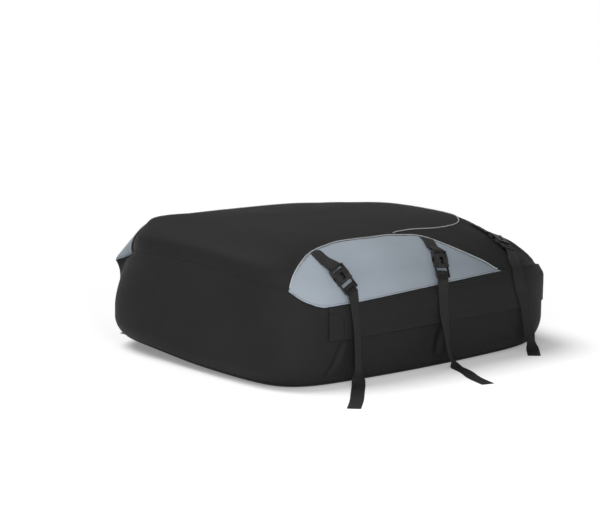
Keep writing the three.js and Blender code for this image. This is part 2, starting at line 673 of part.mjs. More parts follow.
// Where each strap lies, by its place on the near side. centre, from and to aim the buckle, the webbing
// leaves its seam at start, and its doubled end is sewn down at merge. A route gives the tail's way down
// and over the ground, as [x, distance out from the side wall, height, heading of its width in degrees
// from +X outwards].
const STRAPS = {
  front: {
    centre: [233.1, 1.211], from: [229.2, 1.418], to: [235.7, 1.075], start: [225.6, 1.546],
    merge: [228, 1.446],
    routes: {
      near: [
        [-292, FLAP_OUT - 6, 226, 0], [-288, FLAP_OUT, 160, 0], [-286, FLAP_OUT + 2, 90, 5],
        [-287, FLAP_OUT + 5, 34, 14], [-300, FLAP_OUT + 20, 5, -38], [-345, FLAP_OUT + 68, TAIL_LIE, -42],
        [-410, FLAP_OUT + 138, TAIL_LIE, -42], [-474, FLAP_OUT + 200, TAIL_LIE, -42],
      ],
      far: [
        [-292, FLAP_OUT - 6, 226, 0], [-290, FLAP_OUT, 160, 0], [-290, FLAP_OUT + 3, 84, 24],
        [-296, FLAP_OUT + 12, 30, 40], [-310, FLAP_OUT + 26, 5, 62], [-342, FLAP_OUT + 34, TAIL_LIE, 80],
        [-392, FLAP_OUT + 22, TAIL_LIE, 104],
      ],
    },
  },
  middle: {
    centre: [274.6, 1.215], from: [276.9, 1.45], to: [274.6, 1.06], start: [278.8, 1.61],
    merge: [276.35, 1.49],
    routes: {
      near: [
        [34, FLAP_OUT, 215, 0], [38, FLAP_OUT, 160, 0], [46, FLAP_OUT + 2, 100, 18],
        [54, FLAP_OUT + 7, 40, 24], [62, FLAP_OUT + 22, 5, 10], [48, FLAP_OUT + 76, TAIL_LIE, -14],
        [14, FLAP_OUT + 150, TAIL_LIE, -22], [-8, FLAP_OUT + 226, TAIL_LIE, -10],
      ],
      far: [
        [34, FLAP_OUT, 215, 0], [36, FLAP_OUT, 160, 0], [38, FLAP_OUT + 2, 90, 0],
        [40, FLAP_OUT + 8, 30, 0], [42, FLAP_OUT + 30, 4, 0], [48, FLAP_OUT + 70, TAIL_LIE, 5],
        [60, FLAP_OUT + 130, TAIL_LIE, -12],
      ],
    },
  },
  rear: {
    centre: [317.5, 1.495], from: [322, 1.6], to: [313, 1.38], start: [327, 1.665],
    merge: [322.4, 1.59],
    routes: {
      near: [
        [353, -35, 276, -20], [338, -17, 267, -10], [330, 4, 249, 0], [330, FLAP_OUT, 218, 4],
        [344, FLAP_OUT, 178, 8], [360, FLAP_OUT, 138, 8], [368, FLAP_OUT, 100, 8],
        [380, FLAP_OUT - 1, 42, 5], [378, FLAP_OUT + 13, 6, -20], [338, FLAP_OUT + 60, TAIL_LIE, -38],
      ],
      far: [
        [353, -35, 276, -20], [338, -17, 267, -10], [330, 4, 249, 0], [330, FLAP_OUT, 218, 4],
        [344, FLAP_OUT, 178, 8], [360, FLAP_OUT, 138, 8], [372, FLAP_OUT, 100, 8],
        [386, FLAP_OUT - 1, 40, 3], [390, FLAP_OUT + 18, 5, 0], [398, FLAP_OUT + 62, TAIL_LIE, 0],
      ],
    },
  },
};

function makeStraps() {
  const socket = socketHalf();
  const plug = plugHalf();
  for (const [place, strap] of Object.entries(STRAPS)) {
    for (const [sideName, side] of [['near', -1], ['far', 1]]) {
      const label = `${place}_${sideName}`;
      const frame = strapFrame(side, strap.centre, strap.from, strap.to);
      for (const [name, geometry] of [['buckle_socket', socket], ['buckle_plug', plug]]) {
        const mesh = add(`${name}_${label}`, geometry, 'buckle');
        mesh.applyMatrix4(frame);
      }
      add(`webbing_${label}`, upperWebbing(frame, side, strap.start, strap.merge), 'webbing');
      const route = strap.routes[sideName].map(([x, out, z, heading]) => ({
        point: vec(x, side * (SIDE + out), z),
        width: vec(Math.cos(radians(heading)), side * Math.sin(radians(heading)), 0).multiplyScalar(side),
      }));
      add(`tail_${label}`, tailWebbing(frame, route), 'webbing');
    }
  }
}

// Zip sliders: two plates joined by a post that runs in the slit between the coils
function makeSliders() {
  const x = skinPoint(0, shareAt(0, ZIP_Z)).x - PANEL_T / 2;
  const inner = COIL_T / 2 + 0.5;
  const tall = SLIDER_H / 2;
  for (const [side, name] of [[-1, 'near'], [1, 'far']]) {
    const start = 1;
    const outline = [
      [start, -tall + 1], [start, tall - 1], [start + 3, tall], [start + SLIDER_L - 2, tall - 1.5],
      [start + SLIDER_L, tall - 3], [start + SLIDER_L, -tall + 3], [start + SLIDER_L - 2, -tall + 1.5],
      [start + 3, -tall],
    ];
    let body = plate(outline.toReversed(), inner, inner + SLIDER_PLATE);
    body = body.add(plate(outline.toReversed(), -inner - SLIDER_PLATE, -inner));
    body = body.add(block(start, start + 4, -POST_T / 2, POST_T / 2, -inner - 0.2, inner + 0.2));
    const frame = new THREE.Matrix4().makeBasis(vec(0, side, 0), vec(0, 0, 1), vec(side, 0, 0));
    const slider = add(`zip_slider_${name}`, fromManifold(body), 'slider');
    slider.applyMatrix4(frame.setPosition(x, 0, ZIP_Z));
    const pull = new THREE.Shape([
      [-PULL_W / 2, 0], [PULL_W / 2, 0], [PULL_W / 2, -PULL_L + 2], [PULL_W / 2 - 2, -PULL_L],
      [-PULL_W / 2 + 2, -PULL_L], [-PULL_W / 2, -PULL_L + 2],
    ].map(([px, py]) => new THREE.Vector2(px, py)));
    const tab = new THREE.ExtrudeGeometry(pull, { depth: PULL_T, bevelEnabled: false });
    const mesh = add(`zip_pull_${name}`, tab, 'slider');
    const turn = new THREE.Matrix4().makeBasis(vec(0, 1, 0), vec(0, 0, 1), vec(1, 0, 0));
    const outFace = x + inner + SLIDER_PLATE + CLEAR;
    mesh.applyMatrix4(turn.setPosition(outFace, side * (start + SLIDER_L / 2), ZIP_Z + 2));
  }
}

makeTub();
makeZip();
makeFlap();
makeLid();
makePiping();
makeStraps();
makeSliders();

export default bag;
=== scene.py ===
# The looks of the roof cargo bag: cloth, piping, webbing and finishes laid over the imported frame.
# Metres, +Z up, +X towards the rear, -Y the near side. The camera and the loose tails come first.
import math

import bmesh
import bpy
import numpy as np
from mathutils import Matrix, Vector, noise


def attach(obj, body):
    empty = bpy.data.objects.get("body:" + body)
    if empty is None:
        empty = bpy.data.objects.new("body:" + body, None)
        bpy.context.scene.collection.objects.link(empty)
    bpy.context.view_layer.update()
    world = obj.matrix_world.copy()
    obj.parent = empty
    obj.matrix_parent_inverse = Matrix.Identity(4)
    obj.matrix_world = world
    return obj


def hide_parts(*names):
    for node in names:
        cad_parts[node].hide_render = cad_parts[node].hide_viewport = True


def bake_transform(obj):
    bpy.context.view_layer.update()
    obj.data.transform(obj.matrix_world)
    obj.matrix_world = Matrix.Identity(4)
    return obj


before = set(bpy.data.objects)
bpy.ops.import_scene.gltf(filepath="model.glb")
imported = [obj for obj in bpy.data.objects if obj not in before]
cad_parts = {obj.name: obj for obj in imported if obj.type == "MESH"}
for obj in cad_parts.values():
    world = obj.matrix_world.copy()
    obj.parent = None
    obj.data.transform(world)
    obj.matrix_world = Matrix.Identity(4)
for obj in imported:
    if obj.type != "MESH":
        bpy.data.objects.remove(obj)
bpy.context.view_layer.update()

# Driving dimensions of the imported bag, as in the frame's source
LENGTH = 1.074
WIDTH = 0.890
HEIGHT = 0.389
WALL_SQUARENESS = 6.5
REAR_SQUARENESS = 2.8
REAR_ROUNDING = 0.31
NOSE_SQUARENESS = 4
NOSE_LEAN_LOW = 0.110
NOSE_LEAN_HIGH = 0.270
TUCK = 0.027
CORNER_TUCK = 0.018
FOOT_RISE = 0.055
CORNER_FOOT_RISE = 0.030
HEM_Z = 0.014
SIDE_SEAM_Z = 0.237
SIDE_SEAM_SLOPE = 0.0385
NOSE_SEAM_Z = 0.317
NOSE_SEAM_DROP = 0.042
NOSE_SEAM_REACH = 0.438
NOSE_SEAM_POWER = 2.4
REAR_SEAM_Z = 0.212
CROWN_TILT = 0.034
CROWN_ARCH = 0.030
CROWN_FLAT = 5.1
CROWN_SHOULDER = 3.2
REAR_FLAT = 5.45
REAR_SHOULDER = 1.12
TUB_TOP_Z = 0.1724
BAND_Z = 0.1979
FLAP_LOW_Z = 0.130
FLAP_T = 0.0015
FLAP_STAND = 0.0068
FLAP_END_T = 0.001
CLEAR = 0.0003
PIPING_R = 0.0016

# Where the nose and the rear take over from the sides, as cosines of the angle to them
NOSE_LEAN_FROM = (0, 0.6)
NOSE_SEAM_FROM = (0.655, 0.8)
REAR_SEAM_FROM = (0.6, 0.95)
REAR_FROM = (0, 0.62)

# Angles round the bag, in degrees from the rear, anticlockwise seen from above; the near side is 270
FLAP_START = 229.5
FLAP_END_STOP = 233.5
REAR_WALL_START = 322
REAR_PANEL_START = 263
TOP_PIPING_START = 266.6
PIPING_FRONT = 219
PIPING_REAR = 300.4

# Edges of the lid's panels: [angle, height share], where 1 is the seam and 2 the crown
GREY_EDGE = [
    (218.7, 1.0), (219, 1.02), (219.8, 1.155), (221.2, 1.354), (222.9, 1.516), (225.6, 1.622), (230.7, 1.704),
    (236, 1.731), (250, 1.742), (262, 1.744), (270, 1.722), (276, 1.705), (280, 1.668), (283.2, 1.585),
    (287.5, 1.47), (292, 1.378), (297, 1.27), (299.5, 1.15), (301.5, 1.045), (302.2, 1.0),
]
TOP_EDGE = [
    (262, 1.744), (270, 1.777), (276, 1.787), (284, 1.8), (300, 1.798), (312, 1.784), (330, 1.76),
    (345, 1.725), (360, 1.715),
]
GREY_FRONT = GREY_EDGE[0][0]
GREY_REAR = GREY_EDGE[-1][0]
# One height share is about as long on the cloth as this many degrees
SHARE_IN_DEGREES = 30

WEB_W = 0.038
WEB_T = 0.0014
WEB_GAP = 0.00035
BUCKLE_T = 0.012
BUCKLE_LIFT = 0.0004
BAR = 0.004
SLOT_LOW = -0.030
SOCKET_END = SLOT_LOW - BAR
LOCK_BAR = 0.027
END_BAR = 0.040
LADDER_LOW = 0.0034
LADDER_HIGH = 0.007
LAID_RISE = 0.0024
TAIL_LIE = 0.0011
FLAP_OUT = FLAP_STAND + FLAP_T + 2 * CLEAR + FLAP_END_T + WEB_T / 2 + CLEAR
SIDE = WIDTH / 2

# Where each strap lies, by its place on the near side: places on the skin as (angle, height share),
# and each tail's route as (x, distance out from the side wall, height, heading of its width in
# degrees from +X outwards). They are the frame's, apart from the start of the middle strap and the
# headings of the near tails at the front and in the middle, which turn a little further.
STRAPS = {
    "front": {
        "centre": (233.1, 1.211), "from": (229.2, 1.418), "to": (235.7, 1.075), "start": (225.6, 1.546),
        "merge": (228, 1.446),
        "near": [
            (-0.292, FLAP_OUT - 0.006, 0.226, -12), (-0.288, FLAP_OUT, 0.160, -20),
            (-0.286, FLAP_OUT + 0.002, 0.090, -22), (-0.287, FLAP_OUT + 0.005, 0.034, -18),
            (-0.300, FLAP_OUT + 0.020, 0.005, -38),
            (-0.345, FLAP_OUT + 0.068, TAIL_LIE, -42), (-0.410, FLAP_OUT + 0.138, TAIL_LIE, -42),
            (-0.474, FLAP_OUT + 0.200, TAIL_LIE, -42),
        ],
        "far": [
            (-0.292, FLAP_OUT - 0.006, 0.226, 0), (-0.290, FLAP_OUT, 0.160, 0),
            (-0.290, FLAP_OUT + 0.003, 0.084, 24),
            (-0.296, FLAP_OUT + 0.012, 0.030, 40), (-0.310, FLAP_OUT + 0.026, 0.005, 62),
            (-0.342, FLAP_OUT + 0.034, TAIL_LIE, 80), (-0.392, FLAP_OUT + 0.022, TAIL_LIE, 104),
        ],
    },
    "middle": {
        "centre": (274.6, 1.215), "from": (276.9, 1.45), "to": (274.6, 1.06), "start": (279.7, 1.62),
        "merge": (276.35, 1.49),
        "near": [
            (0.034, FLAP_OUT, 0.215, -2), (0.038, FLAP_OUT, 0.160, -6), (0.046, FLAP_OUT + 0.002, 0.100, -24),
            (0.054, FLAP_OUT + 0.007, 0.040, -34), (0.062, FLAP_OUT + 0.022, 0.005, -24),
            (0.048, FLAP_OUT + 0.076, TAIL_LIE, -14), (0.014, FLAP_OUT + 0.150, TAIL_LIE, -22),
            (-0.008, FLAP_OUT + 0.226, TAIL_LIE, -10),
        ],
        "far": [
            (0.034, FLAP_OUT, 0.215, 0), (0.036, FLAP_OUT, 0.160, 0), (0.038, FLAP_OUT + 0.002, 0.090, 0),
            (0.040, FLAP_OUT + 0.008, 0.030, 0), (0.042, FLAP_OUT + 0.030, 0.004, 0),
            (0.048, FLAP_OUT + 0.070, TAIL_LIE, 5), (0.060, FLAP_OUT + 0.130, TAIL_LIE, -12),
        ],
    },
    "rear": {
        "centre": (317.5, 1.495), "from": (322, 1.6), "to": (313, 1.38), "start": (327, 1.665),
        "merge": (322.4, 1.59),
        "near": [
            (0.353, -0.035, 0.276, -20), (0.338, -0.017, 0.267, -10), (0.330, 0.004, 0.249, 0),
            (0.330, FLAP_OUT, 0.218, 4), (0.344, FLAP_OUT, 0.178, 8), (0.360, FLAP_OUT, 0.138, 8),
            (0.368, FLAP_OUT, 0.100, 8), (0.380, FLAP_OUT - 0.001, 0.042, 5),
            (0.378, FLAP_OUT + 0.013, 0.006, -20), (0.338, FLAP_OUT + 0.060, TAIL_LIE, -38),
        ],
        "far": [
            (0.353, -0.035, 0.276, -20), (0.338, -0.017, 0.267, -10), (0.330, 0.004, 0.249, 0),
            (0.330, FLAP_OUT, 0.218, 4), (0.344, FLAP_OUT, 0.178, 8), (0.360, FLAP_OUT, 0.138, 8),
            (0.372, FLAP_OUT, 0.100, 8), (0.386, FLAP_OUT - 0.001, 0.040, 3),
            (0.390, FLAP_OUT + 0.018, 0.005, 0), (0.398, FLAP_OUT + 0.062, TAIL_LIE, 0),
        ],
    },
}
SIDES = {"near": -1, "far": 1}

# Camera, fitted to the photo: where the middle of the base stands in it, and its scale there
AZIMUTH = math.radians(-40)
ELEVATION = math.radians(10.6)
PHOTO_PX = (600, 508)
BASE_PX = (328.5, 342.5)
FOCAL_PX = 2600
PX_PER_METRE = 339.5
SENSOR_MM = 36


def make_camera():
    back = Vector((
        math.sin(AZIMUTH) * math.cos(ELEVATION),
        -math.cos(AZIMUTH) * math.cos(ELEVATION),
        math.sin(ELEVATION),
    ))
    right = Vector((math.cos(AZIMUTH), math.sin(AZIMUTH), 0))
    up = back.cross(right)
    camera = bpy.data.objects.new("camera", bpy.data.cameras.new("camera"))
    bpy.context.scene.collection.objects.link(camera)
    camera.data.sensor_width = SENSOR_MM
    camera.data.lens = FOCAL_PX / PHOTO_PX[0] * SENSOR_MM
    camera.location = (
        back * (FOCAL_PX / PX_PER_METRE)
        - right * ((BASE_PX[0] - PHOTO_PX[0] / 2) / PX_PER_METRE)
        + up * ((BASE_PX[1] - PHOTO_PX[1] / 2) / PX_PER_METRE)
    )
    camera.rotation_mode = "QUATERNION"
    camera.rotation_quaternion = (-back).to_track_quat("-Z", "Y")
    camera.data.clip_end = 100
    bpy.context.scene.camera = camera


# The bag's outer face, the same formula as the frame's source, for arrays of angles and shares


def lerp(a, b, share):
    return a + (b - a) * share


def smooth(x, low, high):
    share = np.clip((x - low) / (high - low), 0, 1)
    return share * share * (3 - 2 * share)


def plateau(x, ends):
    """Rises softly over the first two ends, stays at 1 and falls softly over the last two."""
    return smooth(x, *ends[:2]) * (1 - smooth(x, *ends[2:]))


def hump(x, middle, spread):
    """1 at the middle, falling off with one spread before it and another after it."""
    return np.exp(-((x - middle) / np.where(x < middle, *spread)) ** 2)


def plan(t, squareness):
    along = np.abs(np.cos(t) / (LENGTH / 2)) ** squareness
    across = np.abs(np.sin(t) / (WIDTH / 2)) ** squareness
    radius = (along + across) ** (-1 / squareness)
    return radius * np.cos(t), radius * np.sin(t)


def near_angle(angle):
    """The same place on the near side of the bag."""
    turned = np.mod(angle, 360)
    return np.where(turned < 180, 360 - turned, turned)


def wall_squareness(t, z):
    lean = smooth(-np.cos(t), *NOSE_LEAN_FROM) * smooth(z, NOSE_LEAN_LOW, NOSE_LEAN_HIGH)
    return lerp(WALL_SQUARENESS, NOSE_SQUARENESS, lean)


def seam_height(t):
    x, y = plan(t, WALL_SQUARENESS)
    nose = NOSE_SEAM_Z - NOSE_SEAM_DROP * np.abs(y / (NOSE_SEAM_REACH * WIDTH)) ** NOSE_SEAM_POWER
    side = SIDE_SEAM_Z + SIDE_SEAM_SLOPE * x
    front = lerp(side, nose, smooth(-np.cos(t), *NOSE_SEAM_FROM))
    front = front - TIP_DIP * hump(near_angle(np.degrees(t)), TIP_ANGLE, (TIP_SPREAD, TIP_SPREAD))
    return lerp(front, REAR_SEAM_Z, smooth(np.cos(t), *REAR_SEAM_FROM))


def foot_share(t, z):
    corner = np.sin(2 * np.arctan2(np.sin(t) / WIDTH, np.cos(t) / LENGTH)) ** 2
    depth = np.clip(1 - z / (FOOT_RISE + CORNER_FOOT_RISE * corner), 0, 1)
    tuck = (TUCK + CORNER_TUCK * corner) / (WIDTH / 2)
    return 1 - tuck * (1 - np.sqrt(1 - depth * depth))


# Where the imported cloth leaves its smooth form. Angles and spreads are in degrees, and places up the
# cloth and their spreads are height shares; a plateau has its four ends.

# The far nose corner has an ear at the seam, and the lid beside the ear is drawn in
EAR_ANGLE = 136.5
EAR_SPREAD = (7, 3)
EAR_OUT = 0.048
EAR_FADE_UP = 0.11
EAR_FADE_DOWN = 0.17
DRAWN_ANGLE = 144
DRAWN_SPREAD = (4.5, 9)
DRAWN_SHARES = (0.9, 1.0, 1.25, 1.55)
DRAWN_IN = 0.024
# The nose's far foot is lifted off the ground, and its far shoulder stands a little higher
FOOT_LIFT = 0.026
FOOT_LIFT_TOP = 0.15
FOOT_LIFT_ANGLES = (95, 140, 140, 222)
SHOULDER_UP = 0.011
SHOULDER_AT = (146, 1.53)
SHOULDER_SPREAD = ((12, 14), (0.15, 0.25))
# The seam dips at the tips of the side panels
TIP_DIP = 0.006
TIP_ANGLE = 221.5
TIP_SPREAD = 3
# The lid is packed full behind the rear straps, its seam is drawn in there, and its rear end is higher
CORNER_FULL = 0.015
CORNER_FULL_UP = 0.8
CORNER_FULL_OUT = 0.5
CORNER_FULL_ANGLES = (320, 328, 336, 350)
CORNER_FULL_SHARES = (1.0, 1.12, 1.4, 1.62)
CORNER_IN = 0.012
CORNER_IN_ANGLES = (311, 320, 332, 344)
CORNER_IN_FADE = (1.0, 1.3)
# The tub and the zip stay put: the drawn corner starts just above the lid band's lower edge
CORNER_IN_FROM = BAND_Z + 0.003
CROWN_UP = 0.008
CROWN_SHARE = 1.7
CROWN_SPREAD = (0.12, 0.12)
CROWN_FROM = (0.75, 0.95)


def packed(angle, v, points):
    """The smooth face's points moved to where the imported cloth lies."""
    turned = np.mod(angle, 360)
    near = near_angle(angle)
    above, below = np.maximum(v - 1, 0), np.minimum(v - 1, 0)
    ear = EAR_OUT * hump(turned, EAR_ANGLE, EAR_SPREAD)
    ear = ear * np.exp(-above / EAR_FADE_UP) * np.exp(below / EAR_FADE_DOWN)
    drawn = DRAWN_IN * hump(turned, DRAWN_ANGLE, DRAWN_SPREAD) * plateau(v, DRAWN_SHARES)
    lift = FOOT_LIFT * plateau(turned, FOOT_LIFT_ANGLES)
    lift = lift * np.clip(1 - points[..., 2] / FOOT_LIFT_TOP, 0, 1) ** 1.5 * np.clip(1 + v, 0, 1) ** 3
    full = CORNER_FULL * plateau(near, CORNER_FULL_ANGLES) * plateau(v, CORNER_FULL_SHARES)
    shoulder = SHOULDER_UP * hump(turned, SHOULDER_AT[0], SHOULDER_SPREAD[0])
    shoulder = shoulder * hump(v, SHOULDER_AT[1], SHOULDER_SPREAD[1])
    crown = CROWN_UP * hump(v, CROWN_SHARE, CROWN_SPREAD)
    crown = crown * smooth(np.cos(np.radians(angle)), *CROWN_FROM)
    wall = smooth(points[..., 2], CORNER_IN_FROM, seam_height(np.radians(angle)))
    corner = CORNER_IN * plateau(near, CORNER_IN_ANGLES)
    corner = corner * np.where(v > 1, 1 - smooth(v, *CORNER_IN_FADE), wall)

    far_front = math.sqrt(0.5) * (ear - drawn)
    sideways = CORNER_FULL_OUT * full - corner
    turn = np.radians(near)
    moved = np.stack(np.broadcast_arrays(
        -far_front + sideways * np.cos(turn),
        far_front + sideways * np.sin(turn) * np.where(turned < 180, -1, 1),
        lift + CORNER_FULL_UP * full + shoulder + crown,
    ), -1)
    return points + moved


def skin(angle, v):
    """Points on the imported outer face; v is -1 under the middle, 0 at the foot, 1 at the seam, 2 on top."""
    return packed(np.asarray(angle), np.asarray(v), smooth_skin(angle, v))


def smooth_skin(angle, v):
    """The frame's outer face."""
    angle, v = np.broadcast_arrays(np.asarray(angle, float), np.asarray(v, float))
    t = np.radians(angle)
    seam = seam_height(t)
    z = np.clip(seam * v, 0, None)
    share = foot_share(t, z) * np.minimum(1, 1 + v)
    x, y = plan(t, wall_squareness(t, z))
    rear = smooth(np.cos(t), *REAR_FROM)
    turn = np.clip(v - 1, 0, 1) * math.pi / 2
    across = np.clip(np.cos(turn), 0, 1) ** (2 / lerp(CROWN_FLAT, REAR_FLAT, rear))
    up = np.sin(turn) ** (2 / lerp(CROWN_SHOULDER, REAR_SHOULDER, rear))
    rounding = rear * up ** lerp(1, REAR_ROUNDING, rear)
    squareness = lerp(wall_squareness(t, seam), REAR_SQUARENESS, rounding)
    lid_x, lid_y = (q * across for q in plan(t, squareness))
    crown = HEIGHT - CROWN_TILT * lid_x - CROWN_ARCH * (lid_y / (WIDTH / 2)) ** 2
    wall = np.stack(np.broadcast_arrays(x * share, y * share, z), -1)
    lid = np.stack(np.broadcast_arrays(lid_x, lid_y, lerp(seam, crown, up)), -1)
    return np.where(np.asarray(v)[..., None] <= 1, wall, lid)


def unit(vectors):
    return vectors / np.maximum(np.linalg.norm(vectors, axis=-1, keepdims=True), 1e-12)


def skin_normal(angle, v, face=skin):
    angle, v = np.broadcast_arrays(np.asarray(angle, float), np.asarray(v, float))
    inner = np.clip(v, None, 1.999)
    along = face(angle + 0.01, inner) - face(angle - 0.01, inner)
    up = face(angle, inner + 1e-4) - face(angle, inner - 1e-4)
    normal = unit(np.cross(along, up))
    normal[v > 1.995] = (0, 0, 1)
    normal[v < -0.01] = (0, 0, -1)
    return normal


def skin_at(angle, v, out=0.0):
    return skin(angle, v) + skin_normal(angle, v) * np.asarray(out)[..., None]


def spline(points, parts):
    """A centripetal Catmull-Rom curve through points, with that many parts to each stretch."""
    p = np.asarray(points, float)
    p = np.concatenate([[2 * p[0] - p[1]], p, [2 * p[-1] - p[-2]]])
    made = []
    for a, b, c, d in zip(p, p[1:], p[2:], p[3:]):
        step = [max(np.linalg.norm(e - s) ** 0.5, 1e-6) for s, e in ((a, b), (b, c), (c, d))]
        leave = ((b - a) / step[0] - (c - a) / (step[0] + step[1]) + (c - b) / step[1]) * step[1]
        arrive = ((c - b) / step[1] - (d - b) / (step[1] + step[2]) + (d - c) / step[2]) * step[1]
        for s in np.arange(parts) / parts:
            made.append(
                b + s * leave + s * s * (3 * (c - b) - 2 * leave - arrive)
                + s ** 3 * (2 * (b - c) + leave + arrive)
            )
    return np.array([*made, p[-2]])


def edge_line(knots):
    """A smooth edge through its knots, as a function of the angle, the same on both sides of the bag."""
    scaled = [(angle, v * SHARE_IN_DEGREES) for angle, v in knots]
    line = spline(scaled, 8)

    def at(angle):
        return np.interp(near_angle(angle), line[:, 0], line[:, 1]) / SHARE_IN_DEGREES

    return at


grey_edge = edge_line(GREY_EDGE)
top_edge = edge_line(TOP_EDGE)


def height(z):
    return lambda angle: z / seam_height(np.radians(angle))


def share(v):
    return lambda angle: np.full(np.shape(angle), float(v))


# Meshes


def link(name, mesh, finish):
    mesh.shade_smooth()
    mesh.materials.append(finish)
    made = bpy.data.objects.new(name, mesh)
    bpy.context.scene.collection.objects.link(made)
    return made


def grid_object(name, points, finish, maps, closed=False):
    """A sheet of quads over a grid of points [along][up]; maps gives each UV map's values on the grid.

    A closed one meets itself along an edge or at a pole, and is joined there.
    """
    n, m = points.shape[:2]
    mesh = bpy.data.meshes.new(name)
    i, j = np.meshgrid(np.arange(n - 1), np.arange(m - 1), indexing="ij")
    corners = [(i, j), (i + 1, j), (i + 1, j + 1), (i, j + 1)]
    faces = np.stack([a * m + b for a, b in corners], -1).reshape(-1, 4)
    mesh.from_pydata(points.reshape(-1, 3).tolist(), [], faces.tolist())
    for label, values in maps.items():
        layer = mesh.uv_layers.new(name=label)
        layer.data.foreach_set("uv", np.stack([values[a, b] for a, b in corners], 2).ravel())
    if closed:
        shape = bmesh.new()
        shape.from_mesh(mesh)
        bmesh.ops.remove_doubles(shape, verts=shape.verts, dist=1e-6)
        shape.to_mesh(mesh)
        shape.free()
    return link(name, mesh, finish)


def lengths(points, axis):
    """How far each point lies along its line."""
    steps = np.linalg.norm(np.diff(points, axis=axis), axis=-1)
    start = np.zeros_like(np.take(steps, [0], axis))
    return np.concatenate([start, np.cumsum(steps, axis)], axis)


class Cloth:
    """A grid of points over one panel of the skin, with each point's distance from the panel's edges."""

    EDGE_ROWS = np.array([0, 0.0008, 0.0022, 0.0045, 0.008])
    SAMPLES_A_DEGREE = 12
    SAMPLES_UP = 240
    # An edge at a higher share than this is the middle of the top
    MIDDLE_OF_TOP = 1.99

    def __init__(self, start, end, low, high, step=0.006):
        fine = np.linspace(start, end, int(abs(end - start) * self.SAMPLES_A_DEGREE) + 2)
        rows = [row(fine) for row in (low, high)]
        edges = [lengths(skin(fine, row), 0) for row in rows if row.max() < self.MIDDLE_OF_TOP]
        steps = np.maximum.reduce([np.gradient(e) for e in edges])
        run = np.append(0, steps[1:].cumsum())
        count = int(run[-1] / step) + 2
        self.angle = np.interp(np.linspace(0, run[-1], count), run, fine)[:, None]
        ramp = np.linspace(0, 1, self.SAMPLES_UP)
        v = lerp(low(self.angle), high(self.angle), ramp)
        rise = lengths(skin(self.angle, v), 1)
        total = rise[:, -1:]
        inner = max(2, int(total.max() / step))
        ends = self.EDGE_ROWS * np.minimum(1, total / (5 * self.EDGE_ROWS[-1]))
        middle = lerp(ends[:, -1:], total - ends[:, -1:], np.linspace(0, 1, inner + 1)[1:-1])
        self.rise = np.concatenate([ends, middle, total - ends[:, ::-1]], 1)
        self.v = np.array([np.interp(*row) for row in zip(self.rise, rise, v)])
        self.angle = np.broadcast_to(self.angle, self.v.shape)
        self.points = skin(self.angle, self.v)
        self.normals = skin_normal(self.angle, self.v)
        self.low = self.rise
        self.high = total - self.rise
        row = 0 if rows[1].max() > self.MIDDLE_OF_TOP else self.points.shape[1] // 2
        along = lengths(self.points[:, row:row + 1], 0)
        self.along = np.broadcast_to(along, self.v.shape)

    def flat_map(self):
        return self.points[..., :2]

    def wall_map(self):
        return np.stack([self.along, self.rise], -1)


# Relief of the cloth: broad sag, soft dents and fine dimples, each as its size across and its depth,
# puckers at the seams, and creases

SAG = (0.33, 0.0035)
DENTS = (0.12, 0.0012)
DIMPLES = (0.035, 0.00022)
SUNK = 0.0016
PUCKER_SIZE = 0.011
PUCKER_STRETCH = 0.3
PUCKER_DEPTH = 0.0007
PUCKER_REACH = 0.012
SEAM_DEPTH = 0.0017
SEAM_REACH = 0.003
# The ridge beside a crease: its height as a share of the depth, its distance in widths
RIDGE_SHARE = 0.3
RIDGE_AWAY = 1.9

# Each crease: its two ends, width and depth
CREASES = [
    ((-0.326, -0.445, 0.116), (-0.376, -0.430, 0.026), 0.007, 0.0085),
    ((-0.350, -0.442, 0.120), (-0.430, -0.405, 0.050), 0.020, 0.0025),
    ((0.042, -0.445, 0.112), (0.020, -0.440, 0.040), 0.011, 0.0100),
    ((0.010, -0.445, 0.125), (-0.060, -0.438, 0.030), 0.022, 0.0022),
    ((0.300, -0.440, 0.110), (0.365, -0.430, 0.030), 0.016, 0.0035),
    ((-0.520, -0.300, 0.190), (-0.528, 0.060, 0.060), 0.045, 0.0035),
    ((-0.515, 0.080, 0.240), (-0.520, 0.330, 0.120), 0.040, 0.0030),
    ((-0.300, 0.445, 0.120), (-0.350, 0.435, 0.030), 0.012, 0.0050),
    ((0.020, 0.445, 0.120), (0.070, 0.440, 0.030), 0.014, 0.0045),
    ((0.330, 0.440, 0.115), (0.380, 0.425, 0.030), 0.014, 0.0040),
    ((0.530, -0.250, 0.110), (0.520, -0.090, 0.030), 0.018, 0.0040),
    ((0.532, 0.060, 0.115), (0.520, 0.240, 0.035), 0.018, 0.0040),
]


# Each seed looks into the same noise this much further along
SEED_STEP = 7.31


def noise_at(points, scale, seed):
    flat = (points.reshape(-1, 3) / scale + seed * SEED_STEP).tolist()
    return np.array([noise.noise(p) for p in flat]).reshape(points.shape[:-1])


def crease_relief(cloth):
    """Each crease is a valley with a low ridge beside it."""
    total = np.zeros(cloth.points.shape[:2])
    for start, end, width, depth in CREASES:
        start, end = np.array(start), np.array(end)
        line = end - start
        place = np.clip(((cloth.points - start) @ line) / (line @ line), 0, 1)
        away = cloth.points - (start + place[..., None] * line)
        distance = np.linalg.norm(away, axis=-1) / width
        side = np.sign((away * np.cross(cloth.normals, line)).sum(-1))
        taper = np.sqrt(np.clip(4 * place * (1 - place) + 0.15, 0, 1))
        total -= depth * taper * np.exp(-distance ** 2)
        total += RIDGE_SHARE * depth * taper * np.exp(-((side * distance - RIDGE_AWAY) ** 2))
    return total


